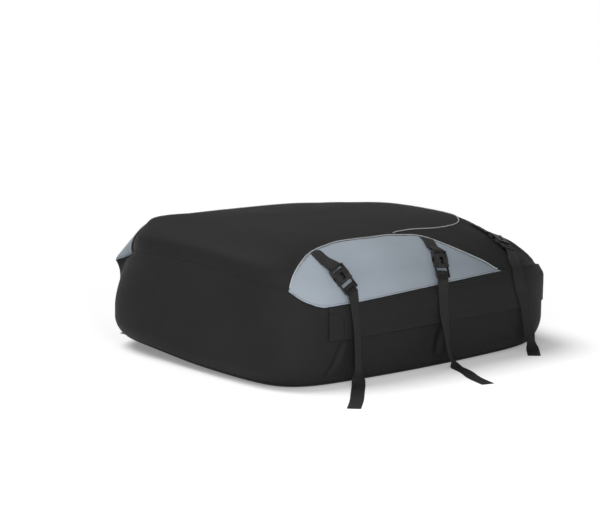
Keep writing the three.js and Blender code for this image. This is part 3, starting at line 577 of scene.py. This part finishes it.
def relief(cloth, sewn_low=True, sewn_high=True, sag=1.0, highest=0.0):
    """How far each point stands off the skin, mostly inwards; sewn edges are drawn in."""
    points = cloth.points
    total = (noise_at(points, SAG[0], 1) * SAG[1] + noise_at(points, DENTS[0], 2) * DENTS[1]) * sag
    total -= SUNK * sag
    total += noise_at(points, DIMPLES[0], 3) * DIMPLES[1]
    total += crease_relief(cloth)
    for sewn, distance, seed in ((sewn_low, cloth.low, 4), (sewn_high, cloth.high, 5)):
        if sewn:
            place = np.stack([cloth.along, distance * PUCKER_STRETCH, cloth.rise * 0], -1)
            puckers = noise_at(place, PUCKER_SIZE, seed) * PUCKER_DEPTH
            total *= smooth(distance, -0.01, 0.03)
            total += puckers * np.exp(-distance / PUCKER_REACH)
            total -= SEAM_DEPTH * np.exp(-distance / SEAM_REACH)
    return np.minimum(total, highest)


HEM_TURN = 0.004


def sew(name, cloth, out, finish, plan_map=False, closed=False, pole=False, turn=(True, True)):
    """A panel: its cloth displaced by out, with each sewn edge turned in towards the inside of the bag."""
    points = cloth.points + cloth.normals * out[..., None]
    seam = np.stack([cloth.along, np.minimum(cloth.low, 1 if pole else cloth.high)], -1)
    flat = cloth.flat_map() if plan_map else cloth.wall_map()
    rows = [points]
    maps = {"Cloth": [flat], "Seam": [seam]}
    for edge, turned in ((0, turn[0]), (-1, turn[1] and not pole)):
        if not turned:
            continue
        inner = points[:, edge] - cloth.normals[:, edge] * HEM_TURN
        for stack, row in ((rows, inner), (maps["Cloth"], flat[:, edge]), (maps["Seam"], seam[:, edge])):
            stack.insert(0 if edge == 0 else len(stack), row[:, None])
    joined = {label: np.concatenate(parts, 1) for label, parts in maps.items()}
    made = grid_object(name, np.concatenate(rows, 1), finish, joined, closed)
    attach(made, "bag")
    return made


# Finishes


class Finish:
    """A material's nodes, with short calls for what the finishes share."""

    def __init__(self, name):
        self.material = bpy.data.materials.new(name)
        self.material.use_nodes = True
        self.tree = self.material.node_tree
        self.tree.nodes.clear()
        self.shader = self.node("ShaderNodeBsdfPrincipled")
        output = self.node("ShaderNodeOutputMaterial")
        self.tree.links.new(self.shader.outputs[0], output.inputs[0])
        self.place = self.node("ShaderNodeTexCoord").outputs["Object"]

    def put(self, socket, value):
        if isinstance(value, bpy.types.NodeSocket):
            self.tree.links.new(value, socket)
        else:
            socket.default_value = value

    def node(self, kind, inputs=None, **settings):
        made = self.tree.nodes.new(kind)
        for setting, value in settings.items():
            setattr(made, setting, value)
        for socket, value in (inputs or {}).items():
            self.put(made.inputs[socket], value)
        return made

    def math(self, operation, *values):
        made = self.node("ShaderNodeMath", operation=operation)
        for socket, value in zip(made.inputs, values):
            self.put(socket, value)
        return made.outputs[0]

    def mix(self, share, a, b):
        return self.node("ShaderNodeMix", {0: share, 6: a, 7: b}, data_type="RGBA").outputs[2]

    def noise(self, size, detail=2.0):
        inputs = {"Vector": self.place, "Scale": 1 / size, "Detail": detail}
        return self.node("ShaderNodeTexNoise", inputs).outputs["Fac"]

    def map_range(self, value, low, high, to_low, to_high):
        inputs = {0: value, 1: low, 2: high, 3: to_low, 4: to_high}
        return self.node("ShaderNodeMapRange", inputs).outputs[0]

    def uv(self, label):
        split = self.node("ShaderNodeSeparateXYZ", {0: self.node("ShaderNodeUVMap", uv_map=label).outputs[0]})
        return split.outputs[0], split.outputs[1]

    def weave(self, u, v, pitch):
        """Height of a plain weave: warp and weft yarns take turns on top."""
        u, v = self.math("DIVIDE", u, pitch), self.math("DIVIDE", v, pitch)
        yarns = [self.math("ABSOLUTE", self.math("SINE", self.math("MULTIPLY", q, math.pi))) for q in (u, v)]
        cells = self.math("ADD", self.math("FLOOR", u), self.math("FLOOR", v))
        over = self.math("FLOORED_MODULO", cells, 2.0)
        return self.math("ADD", self.math("MULTIPLY", yarns[0], over),
                         self.math("MULTIPLY", yarns[1], self.math("SUBTRACT", 1.0, over)))

    def stitches(self, offset, pitch=0.0042, width=0.0009):
        """1 on a row of stitches at that distance from the panel's edge."""
        along, away = self.uv("Seam")
        row = self.math("LESS_THAN", self.math("ABSOLUTE", self.math("SUBTRACT", away, offset)), width / 2)
        dash = self.math("LESS_THAN", self.math("FRACT", self.math("DIVIDE", along, pitch)), 0.76)
        return self.math("MULTIPLY", row, dash)

    def bump(self, heights):
        """Heights as (value, depth in metres), one bump over the other."""
        normal = None
        for value, depth in heights:
            inputs = {"Height": value, "Distance": depth, "Strength": 1.0}
            if normal is not None:
                inputs["Normal"] = normal
            normal = self.node("ShaderNodeBump", inputs).outputs[0]
        self.put(self.shader.inputs["Normal"], normal)

    def set(self, **values):
        for label, value in values.items():
            self.put(self.shader.inputs[label.replace("_", " ")], value)
        return self


def grey_level(level, warm=0.0):
    return (level * (1 + warm), level, level * (1 - warm), 1)


def tinted(colour, factor):
    return tuple(min(1, c * factor) for c in colour[:3]) + (1,)


CLOTH_SHINE = 0.07
# Where along the bag the side panels' grey darkens towards the rear: painted shade, for a lamp's light
# falling off away from the front
REAR_SHADE_OVER = (-0.15, 0.25)


def woven(name, colour, thread, stitch_rows, pitch=0.0009, roughness=0.55, rear_shade=0.0):
    """Coated woven cloth, with stitching and light wear along its seams; it may be darkened to the rear with
    painted shade.
    """
    made = Finish(name)
    u, v = made.uv("Cloth")
    height_of_weave = made.weave(u, v, pitch)
    patchy = made.map_range(made.noise(0.16, 4), 0.3, 0.7, 0, 1)
    fine = made.map_range(made.noise(0.0035, 3), 0.3, 0.7, 0, 1)
    base = made.mix(patchy, tinted(colour, 0.92), tinted(colour, 1.08))
    base = made.mix(made.math("MULTIPLY", fine, 0.35), base, tinted(colour, 1.18))
    base = made.mix(made.math("MULTIPLY", height_of_weave, 0.35), base, tinted(colour, 1.25))
    away = made.uv("Seam")[1]
    wear = made.math("MULTIPLY", made.map_range(away, 0.0005, 0.006, 0.5, 0), fine)
    base = made.mix(wear, base, tinted(colour, 1.6))
    # Painted shade: the colour darkens towards the rear, standing in for the front lamp's light falling off
    if rear_shade:
        x = made.node("ShaderNodeSeparateXYZ", {0: made.place}).outputs[0]
        base = made.mix(made.map_range(x, *REAR_SHADE_OVER, 0, rear_shade), base, (0, 0, 0, 1))
    sewn = 0.0
    for offset in stitch_rows:
        sewn = made.math("MAXIMUM", sewn, made.stitches(offset))
    made.set(
        Base_Color=made.mix(sewn, base, thread),
        Roughness=made.map_range(fine, 0, 1, roughness - 0.06, roughness + 0.08),
        Specular_IOR_Level=CLOTH_SHINE,
    )
    made.bump([(height_of_weave, 0.00012), (sewn, 0.0003), (patchy, 0.0003)])
    return made.material


def webbing_finish():
    """Ribbed webbing: fine ribs across it, a chevron of yarns along it and a bound edge."""
    made = Finish("webbing")
    along, across = made.uv("Cloth")
    ribs = made.math("ABSOLUTE", made.math("SINE", made.math("MULTIPLY", along, math.pi / 0.0016)))
    yarns = made.weave(across, along, 0.0013)
    edge = made.map_range(made.math("ABSOLUTE", across), WEB_W / 2 - 0.0022, WEB_W / 2 - 0.0016, 0, 1)
    fine = made.map_range(made.noise(0.002, 3), 0.3, 0.7, 0, 1)
    base = made.mix(made.math("MULTIPLY", yarns, 0.6), grey_level(0.009, 0.03), grey_level(0.018, 0.03))
    base = made.mix(made.math("MULTIPLY", fine, 0.4), base, grey_level(0.024, 0.03))
    made.set(
        Base_Color=made.mix(made.math("MULTIPLY", edge, 0.4), base, grey_level(0.026, 0.03)),
        Roughness=0.6, Specular_IOR_Level=0.2, Sheen_Weight=0.02, Sheen_Roughness=0.5,
    )
    made.bump([(yarns, 0.0002), (ribs, 0.00015), (edge, 0.0002)])
    return made.material


def moulded(name, colour, roughness, metal=0.0, wear_and_highlight=2.2):
    """Moulded plastic or cast metal with a faint grain and paler edges: rubbed wear, and on the buckle mostly
    a painted highlight.
    """
    made = Finish(name)
    grain = made.noise(0.0009, 2)
    patchy = made.noise(0.02, 3)
    pointed = made.node("ShaderNodeNewGeometry").outputs["Pointiness"]
    # Paler edges: rubbed wear, and with a strong factor, as on the buckle, a painted highlight
    rubbed_and_highlit = made.math("MULTIPLY", made.map_range(pointed, 0.52, 0.6, 0, 1), patchy)
    made.set(
        Base_Color=made.mix(rubbed_and_highlit, colour, tinted(colour, wear_and_highlight)), Metallic=metal,
        Roughness=made.map_range(patchy, 0.3, 0.7, roughness - 0.05, roughness + 0.08),
    )
    made.bump([(grain, 0.00003)])
    return made.material


def cord_finish():
    """Piping: a smooth coated cord, a little soiled, with a thread's ripple along it."""
    made = Finish("piping")
    along, _ = made.uv("Cloth")
    ripple = made.math("SINE", made.math("MULTIPLY", along, 2 * math.pi / 0.0042))
    soil = made.map_range(made.noise(0.03, 4), 0.4, 0.75, 0, 0.5)
    made.set(
        Base_Color=made.mix(soil, (0.42, 0.44, 0.46, 1), (0.30, 0.31, 0.33, 1)),
        Roughness=0.42, Specular_IOR_Level=0.4,
    )
    made.bump([(ripple, 0.0001), (made.noise(0.003, 2), 0.0001)])
    return made.material


BLACK_CLOTH = (0.0190, 0.0190, 0.0192, 1)
GREY_CLOTH = (0.300, 0.340, 0.382, 1)
# Dark stitch thread on the grey panels: a real stitch row, its darkness partly painted shade of the recess
# between the piping and the panel
GREY_THREAD_AND_SEAM_SHADE = (0.05, 0.055, 0.06, 1)
finishes = {
    "cloth": woven("cloth", BLACK_CLOTH, grey_level(0.012), stitch_rows=(0.0055,)),
    "flap": woven("flap_cloth", BLACK_CLOTH, grey_level(0.045), stitch_rows=(0.004, 0.011)),
    "base": woven(
        "base_cloth", grey_level(0.018), grey_level(0.01), stitch_rows=(0.005,), pitch=0.0012, roughness=0.7,
    ),
    # The grey panels darken towards the rear with painted shade
    "grey": woven(
        "grey_cloth", GREY_CLOTH, GREY_THREAD_AND_SEAM_SHADE, stitch_rows=(0.0048,), pitch=0.0007, roughness=0.5,
        rear_shade=0.22,
    ),
    "piping": cord_finish(),
    "zip": moulded("zip_tape", grey_level(0.012), 0.65),
    "slider": moulded("slider_metal", grey_level(0.22), 0.34, metal=0.9, wear_and_highlight=1.8),
    "webbing": webbing_finish(),
    # The buckle's paler edges and ladder bars are mostly a painted highlight
    "buckle": moulded("buckle_plastic", grey_level(0.008), 0.26, wear_and_highlight=5),
}


# Straps


def on_side(side, place):
    """A place of the near side, or its mirror image on the far side."""
    return (place[0] if side < 0 else 360 - place[0]), place[1]


def strap_frame(side, strap):
    """Across the strap, down it and out from the bag, from an origin just off the skin."""
    centre, upper, lower = (on_side(side, strap[end]) for end in ("centre", "from", "to"))
    out = skin_normal(*centre, smooth_skin).reshape(3)
    origin = smooth_skin(*centre).reshape(3) + out * BUCKLE_LIFT
    down = (smooth_skin(*lower) - smooth_skin(*upper)).reshape(3)
    down = unit(down - out * (down @ out))
    frame_of = np.eye(4)
    frame_of[:3, :4] = np.stack([np.cross(down, out), down, out, origin], 1)
    return frame_of


def local(frame_of, places):
    """Points in the middle of the strap, given as [down, out]."""
    return np.array([frame_of[:3, 3] + frame_of[:3, 1] * y + frame_of[:3, 2] * z for y, z in places])


WEB_SECTION = 10


def ribbon(name, points, widths):
    """Webbing along points: a flat band with rounded edges, its ends closed."""
    tangent = unit(np.gradient(points, axis=0))
    across = unit(widths - tangent * (widths * tangent).sum(-1, keepdims=True))
    out = np.cross(across, tangent)
    places = np.linspace(-1, 1, WEB_SECTION + 1)
    bulge = np.sqrt(1 - np.abs(places) ** 14) * 0.75 + 0.25
    ring = [(q, b) for q, b in zip(places, bulge)] + [(q, -b) for q, b in zip(places[::-1], bulge[::-1])]
    ring.append(ring[0])
    grid = np.stack([
        points + across * q * WEB_W / 2 + out * b * WEB_T / 2 for q, b in ring
    ], 1)
    run = lengths(points, 0)[:, None]
    side = np.array([q for q, _ in ring]) * WEB_W / 2
    flat = np.stack(np.broadcast_arrays(run, side[None, :]), -1)
    made = grid_object(name, grid[:, ::-1], finishes["webbing"], {"Cloth": flat[:, ::-1]}, closed=True)
    shape = bmesh.new()
    shape.from_mesh(made.data)
    bmesh.ops.holes_fill(shape, edges=[e for e in shape.edges if e.is_boundary], sides=0)
    bmesh.ops.recalc_face_normals(shape, faces=shape.faces)
    shape.to_mesh(made.data)
    shape.free()
    return made


def tail_loop(frame_of):
    """The doubled end under the lock bar, round it and over it, then out under the end bar."""
    off = WEB_GAP + WEB_T / 2
    under = LADDER_LOW - off
    over = LADDER_HIGH + off
    turn = LOCK_BAR - off
    bevel = off * 0.7
    lowest = WEB_T / 2 + 0.00005
    back = LOCK_BAR + BAR
    round_bar = [
        (0.046, lowest), (0.038, lowest), (0.033, 0.0016), (back - 0.0005, under), (LOCK_BAR, under),
        (LOCK_BAR - bevel, LADDER_LOW - bevel), (turn, LADDER_LOW), (turn, LADDER_HIGH),
        (LOCK_BAR - bevel, LADDER_HIGH + bevel), (LOCK_BAR, over), (back, over),
    ]
    leaving = [
        (back, over), (back + 0.0014, over - 0.0005), (END_BAR - 0.0026, 0.0032),
        (END_BAR - 0.0014, under + 0.00005), (END_BAR + BAR, under + 0.00005), (0.052, 0.002),
    ]
    return local(frame_of, round_bar), local(frame_of, leaving)


# Heights between which a tail turns from lying flat to its own heading
TAIL_TURNS = (0.006, 0.040)
TAIL_PARTS = 14


def make_tail(label, side, strap, route):
    frame_of = strap_frame(side, strap)
    across = frame_of[:3, 0]
    round_bar, leaving = tail_loop(frame_of)
    loop_line = spline(round_bar, 3)
    loop = ribbon(f"tail_loop_{label}", loop_line, np.tile(across, (len(loop_line), 1)))
    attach(loop, f"plug_{label}")
    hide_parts(f"tail_{label}")

    headings = np.radians([r[3] for r in route])
    hanging = np.stack([np.cos(headings) * side, np.sin(headings), np.zeros(len(route))], 1)
    ways = np.array([(x, side * (SIDE + out), z) for x, out, z, _ in route])
    line = spline([leaving[-1], *ways], TAIL_PARTS)[1:]
    place = np.arange(1, len(line) + 1) / TAIL_PARTS
    knots = np.arange(len(route) + 1)
    turns = np.concatenate([across[None], hanging])
    wide = unit(np.stack([np.interp(place, knots, column) for column in turns.T], 1))
    tangent = unit(np.gradient(line, axis=0))
    lying = unit(np.stack([tangent[:, 1], -tangent[:, 0], np.zeros(len(line))], 1))
    lying *= np.where((lying * wide).sum(-1) < 0, -1, 1)[:, None]
    wide = unit(lerp(lying, wide, smooth(line[:, 2], *TAIL_TURNS)[:, None]))
    wide = unit(wide - tangent * (wide * tangent).sum(-1, keepdims=True))
    line[:, 2] = np.maximum(line[:, 2], TAIL_LIE + np.abs(wide[:, 2]) * WEB_W / 2)
    start = spline(leaving, 3)
    points = np.concatenate([start, line])
    widths = np.concatenate([np.tile(across, (len(start), 1)), wide])
    tail = ribbon(f"tail_{label}_webbing", points, widths)
    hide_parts(f"tail_{label}")
    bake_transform(tail)
    float(lengths(points, 0)[-1])


# Rise of the upper webbing above the cloth, from inside its seam to where its doubled end is sewn down
UPPER_LAY = [
    (-0.5, -0.003), (-0.25, -0.0012), (0, 0.0002), (0.2, 0.0006), (0.4, 0.001), (0.6, 0.0014), (0.8, 0.002),
    (1, LAID_RISE),
]


def make_upper_webbing(label, side, strap):
    frame_of = strap_frame(side, strap)
    across = frame_of[:3, 0]
    middle = BUCKLE_T / 2
    off = WEB_GAP + WEB_T / 2
    over = middle + BAR / 2 + off
    under = middle - BAR / 2 - off
    turn = SLOT_LOW + off
    bevel = off * 0.7
    loop = local(frame_of, [
        (SOCKET_END - 0.001, over), (SLOT_LOW, over), (SLOT_LOW + bevel, middle + BAR / 2 + bevel),
        (turn, middle + BAR / 2), (turn, middle - BAR / 2), (SLOT_LOW + bevel, middle - BAR / 2 - bevel),
        (SLOT_LOW, under), (SOCKET_END, under),
    ])
    start, merge = (np.array(on_side(side, strap[end])) for end in ("start", "merge"))
    heading = unit(skin(*merge) - skin(*start))

    def lay(s, rise):
        angle, v = lerp(start, merge, s)
        out = skin_normal(angle, v)
        width = unit(np.cross(lerp(heading, frame_of[:3, 1], s), out))
        return skin(angle, v) + out * (CLEAR + WEB_T / 2 + rise), width

    laid = [lay(s, rise) for s, rise in UPPER_LAY]
    sewn = lay(1, 0.0002)
    knots = np.array([p for p, _ in laid] + [*loop] + [sewn[0]])
    wide = np.array([w for _, w in laid] + [across] * len(loop) + [sewn[1]])
    parts = 5
    line = spline(knots, parts)
    place = np.arange(len(line)) / parts
    widths = np.stack([np.interp(place, np.arange(len(wide)), column) for column in wide.T], 1)
    made = ribbon(f"webbing_{label}_band", line, widths)
    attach(made, "bag")
    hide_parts(f"webbing_{label}")


def make_straps(make):
    for place, strap in STRAPS.items():
        for name, side in SIDES.items():
            make(f"{place}_{name}", side, strap, name)


# The sewn body


def dress(name, cloth, out, finish, node, slot, **options):
    made = sew(name, cloth, out, finishes[finish], **options)
    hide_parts(node)
    return made


def make_tub():
    hem, top = height(HEM_Z), height(TUB_TOP_Z)
    base = Cloth(0, 360, share(-1), hem, step=0.010)
    flat = relief(base, sewn_low=False, sag=0.0) * smooth(base.points[..., 2], 0.0, 0.006)
    dress(
        "base_cloth", base, flat, "base", "base_panel", "base",
        plan_map=True, closed=True, turn=(False, True),
    )
    stretches = {
        "side_wall_near": (FLAP_START, REAR_WALL_START),
        "rear_wall": (REAR_WALL_START, 720 - REAR_WALL_START),
        "side_wall_far": (720 - REAR_WALL_START, 720 - FLAP_START),
    }
    for node, (start, end) in stretches.items():
        cloth = Cloth(start, end, hem, top)
        dress(f"{node}_cloth", cloth, relief(cloth), "cloth", node, "cloth")
    cloth = Cloth(FLAP_START, 720 - FLAP_START, height(BAND_Z), share(1))
    dress("lid_band_cloth", cloth, np.full(cloth.v.shape, -CLEAR), "cloth", "lid_band", "cloth")
    cloth = Cloth(360 - FLAP_START, FLAP_START, hem, share(1))
    dress("front_cloth", cloth, relief(cloth, highest=0.001), "cloth", "front_panel", "cloth")


# The flap's front ends are sewn down, over this many degrees, to this share of its stand
FLAP_SEWN_ANGLE = 7
FLAP_SEWN_SHARE = 0.04
# It lies closer at the rear corners
FLAP_CORNER_SHARE = 0.35
FLAP_CORNER_ANGLES = (311, 318, 334, 342)
# The end patches reach from one share of the flap's height to another
FLAP_END_SHARES = (0.02, 0.76)


def flap_stand(cloth):
    """How far the flap's inner face stands off the skin, from its free edge up to its seam."""
    knots = [0, 0.45, 0.78, 1]
    stand = [FLAP_STAND - 0.002, FLAP_STAND, FLAP_STAND - 0.001, CLEAR]
    reach = cloth.rise / (cloth.rise + cloth.high)
    near = near_angle(cloth.angle)
    sewn_down = smooth(near - FLAP_START, 0, FLAP_SEWN_ANGLE)
    corner = plateau(near, FLAP_CORNER_ANGLES)
    close = lerp(FLAP_SEWN_SHARE, 1, sewn_down) * lerp(1, FLAP_CORNER_SHARE, corner)
    return CLEAR + (np.polyval(np.polyfit(knots, stand, 3), reach) - CLEAR) * close


def thicken(piece, thickness):
    solidify = piece.modifiers.new("thickness", "SOLIDIFY")
    solidify.thickness = thickness
    solidify.offset = -1


def make_flap():
    low = height(FLAP_LOW_Z)
    cloth = Cloth(FLAP_START, 720 - FLAP_START, low, share(1))
    waves = relief(cloth, sewn_low=False, sag=0.5)
    flap = dress("storm_flap_cloth", cloth, flap_stand(cloth) + FLAP_T + waves, "flap", "storm_flap", "cloth",
                 turn=(False, False))
    thicken(flap, FLAP_T)
    for name, side in SIDES.items():
        near = (FLAP_START, FLAP_END_STOP)
        start, end = near if side < 0 else (360 - FLAP_END_STOP, 360 - FLAP_START)

        def between(s):
            return lambda angle: lerp(low(angle), 1, s)

        patch = Cloth(start, end, *map(between, FLAP_END_SHARES), step=0.003)
        stand = flap_stand(patch) + FLAP_T + CLEAR + FLAP_END_T / 2
        made = dress(f"flap_end_{name}_cloth", patch, stand, "flap", f"flap_end_{name}", "cloth",
                     turn=(False, False))
        thicken(made, FLAP_END_T / 2)


def make_lid():
    seam = share(1)
    stretches = {"near": (GREY_FRONT, GREY_REAR), "far": (360 - GREY_REAR, 360 - GREY_FRONT)}
    for name, (start, end) in stretches.items():
        cloth = Cloth(start, end, seam, grey_edge, step=0.005)
        dress(f"grey_{name}_cloth", cloth, relief(cloth, sag=0.7), "grey", f"grey_panel_{name}", "grey")
    cloth = Cloth(
        REAR_PANEL_START, 720 - REAR_PANEL_START,
        lambda a: np.where(near_angle(a) < GREY_REAR, grey_edge(a), 1.0), top_edge,
    )
    dress("rear_slope_cloth", cloth, relief(cloth), "cloth", "rear_slope_panel", "cloth")

    def top_low(angle):
        near = near_angle(angle)
        lid = np.where(near < TOP_EDGE[0][0], grey_edge(near), top_edge(near))
        return np.where(near < GREY_FRONT, 1.0, lid)

    cloth = Cloth(0, 360, top_low, share(2), step=0.0065)
    dress("top_cloth", cloth, relief(cloth, sewn_high=False, highest=0.001), "cloth", "top_panel", "cloth",
          plan_map=True, closed=True, pole=True)


PIPING_SUNK = 0.0009
PIPING_STEP = 0.004
PIPING_SIDES = 12


def make_piping():
    def lay(name, start, end, edge):
        fine = np.linspace(start, end, 1200)
        run = lengths(skin(fine, edge(fine)), 0)
        angles = np.interp(np.arange(0, run[-1], PIPING_STEP), run, fine)
        centre = skin_at(angles, edge(angles), PIPING_R - PIPING_SUNK)
        normals = skin_normal(angles, edge(angles))
        tangent = unit(np.gradient(centre, axis=0))
        side = unit(np.cross(tangent, normals))
        ring = np.linspace(0, 2 * math.pi, PIPING_SIDES + 1)
        radius = PIPING_R * (1 + 0.05 * noise_at(centre, 0.02, 8))
        grid = np.stack([
            centre + radius[:, None] * (side * math.cos(a) + normals * math.sin(a)) for a in ring
        ], 1)
        run = lengths(centre, 0)
        flat = np.stack(np.broadcast_arrays(run[:, None], ring[None, :] * PIPING_R), -1)
        made = grid_object(f"{name}_cord", grid, finishes["piping"], {"Cloth": flat}, closed=True)
        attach(made, "bag")
        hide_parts(name)

    lay("piping_near", PIPING_FRONT, PIPING_REAR, grey_edge)
    lay("piping_far", 360 - PIPING_FRONT, 360 - PIPING_REAR, grey_edge)
    lay("piping_top", TOP_PIPING_START, 720 - TOP_PIPING_START, top_edge)


# What stays as the frame has it: a finish for each node, and softened edges on the moulded pieces

EDGE_ROUNDING = {"buckle": 0.0006, "slider": 0.0003}


def finish_frame():
    kinds = {"buckle_": "buckle", "zip_tape": "zip", "zip_coil": "zip", "zip_slider": "slider",
             "zip_pull": "slider"}
    for name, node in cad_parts.items():
        kind = next((k for start, k in kinds.items() if name.startswith(start)), None)
        if kind is None:
            continue
        for slot in node.material_slots:
            slot.material = finishes[kind]
        if kind in EDGE_ROUNDING:
            bevel = node.modifiers.new("edges", "BEVEL")
            bevel.width = EDGE_ROUNDING[kind]
            bevel.segments = 2
            bevel.limit_method = "ANGLE"
            bevel.angle_limit = math.radians(35)


# Floor, backdrop and lights

# How white the camera sees the floor, beyond its own pale colour
FLOOR_GLOW = 0.225
FLOOR_REACH = 30
FLOOR_DROP = 0.0002


def make_floor():
    made = Finish("floor")
    ray = made.node("ShaderNodeLightPath")
    seen = made.math("MAXIMUM", ray.outputs["Is Camera Ray"], ray.outputs["Is Glossy Ray"])
    made.set(Base_Color=(0.86, 0.86, 0.86, 1), Roughness=0.9, Specular_IOR_Level=0.0)
    made.set(Emission_Color=(1, 1, 1, 1), Emission_Strength=made.math("MULTIPLY", seen, FLOOR_GLOW))
    mesh = bpy.data.meshes.new("floor")
    corners = [(x * FLOOR_REACH, y * FLOOR_REACH, 0) for x, y in ((-1, -1), (1, -1), (1, 1), (-1, 1))]
    mesh.from_pydata(corners, [], [(0, 1, 2, 3)])
    floor = link("floor", mesh, made.material)
    floor.location.z = -FLOOR_DROP


# The backdrop's light on the bag, a soft key from above, and a soft lamp left of the camera
WORLD_LEVEL = 0.28
KEY_FROM = (-0.18, 0.42, 0.88)
KEY_LEVEL = 0.70
KEY_SPREAD = 38
FRONT_AT = (-1.15, -1.6, 0.65)
FRONT_SIZE = 0.9
FRONT_WATTS = 13


def add_lamp(name, kind, place):
    lamp = bpy.data.lights.new(name, kind)
    made = bpy.data.objects.new(name, lamp)
    made.location = place
    made.rotation_mode = "QUATERNION"
    made.rotation_quaternion = Vector(place).to_track_quat("Z", "Y")
    bpy.context.scene.collection.objects.link(made)
    return lamp


def make_lights():
    world = bpy.data.worlds.new("backdrop")
    bpy.context.scene.world = world
    world.use_nodes = True
    nodes, links = world.node_tree.nodes, world.node_tree.links
    nodes.clear()
    ray = nodes.new("ShaderNodeLightPath")
    seen = nodes.new("ShaderNodeMath")
    seen.operation = "MAXIMUM"
    links.new(ray.outputs["Is Camera Ray"], seen.inputs[0])
    links.new(ray.outputs["Is Transmission Ray"], seen.inputs[1])
    strength = nodes.new("ShaderNodeMapRange")
    links.new(seen.outputs[0], strength.inputs[0])
    strength.inputs[3].default_value = WORLD_LEVEL
    strength.inputs[4].default_value = 1.0
    background = nodes.new("ShaderNodeBackground")
    links.new(strength.outputs[0], background.inputs["Strength"])
    output = nodes.new("ShaderNodeOutputWorld")
    links.new(background.outputs[0], output.inputs[0])
    background.inputs["Color"].default_value = (1, 1, 1, 1)
    key = add_lamp("key", "SUN", KEY_FROM)
    key.energy = KEY_LEVEL * math.pi
    key.angle = math.radians(KEY_SPREAD)
    front = add_lamp("front", "AREA", FRONT_AT)
    front.shape = "DISK"
    front.size = FRONT_SIZE
    front.energy = FRONT_WATTS


make_camera()
make_straps(lambda label, side, strap, name: make_tail(label, side, strap, strap[name]))
make_straps(lambda label, side, strap, name: make_upper_webbing(label, side, strap))
make_tub()
make_flap()
make_lid()
make_piping()
finish_frame()
make_floor()
make_lights()
bpy.context.scene.view_settings.view_transform = "Standard"
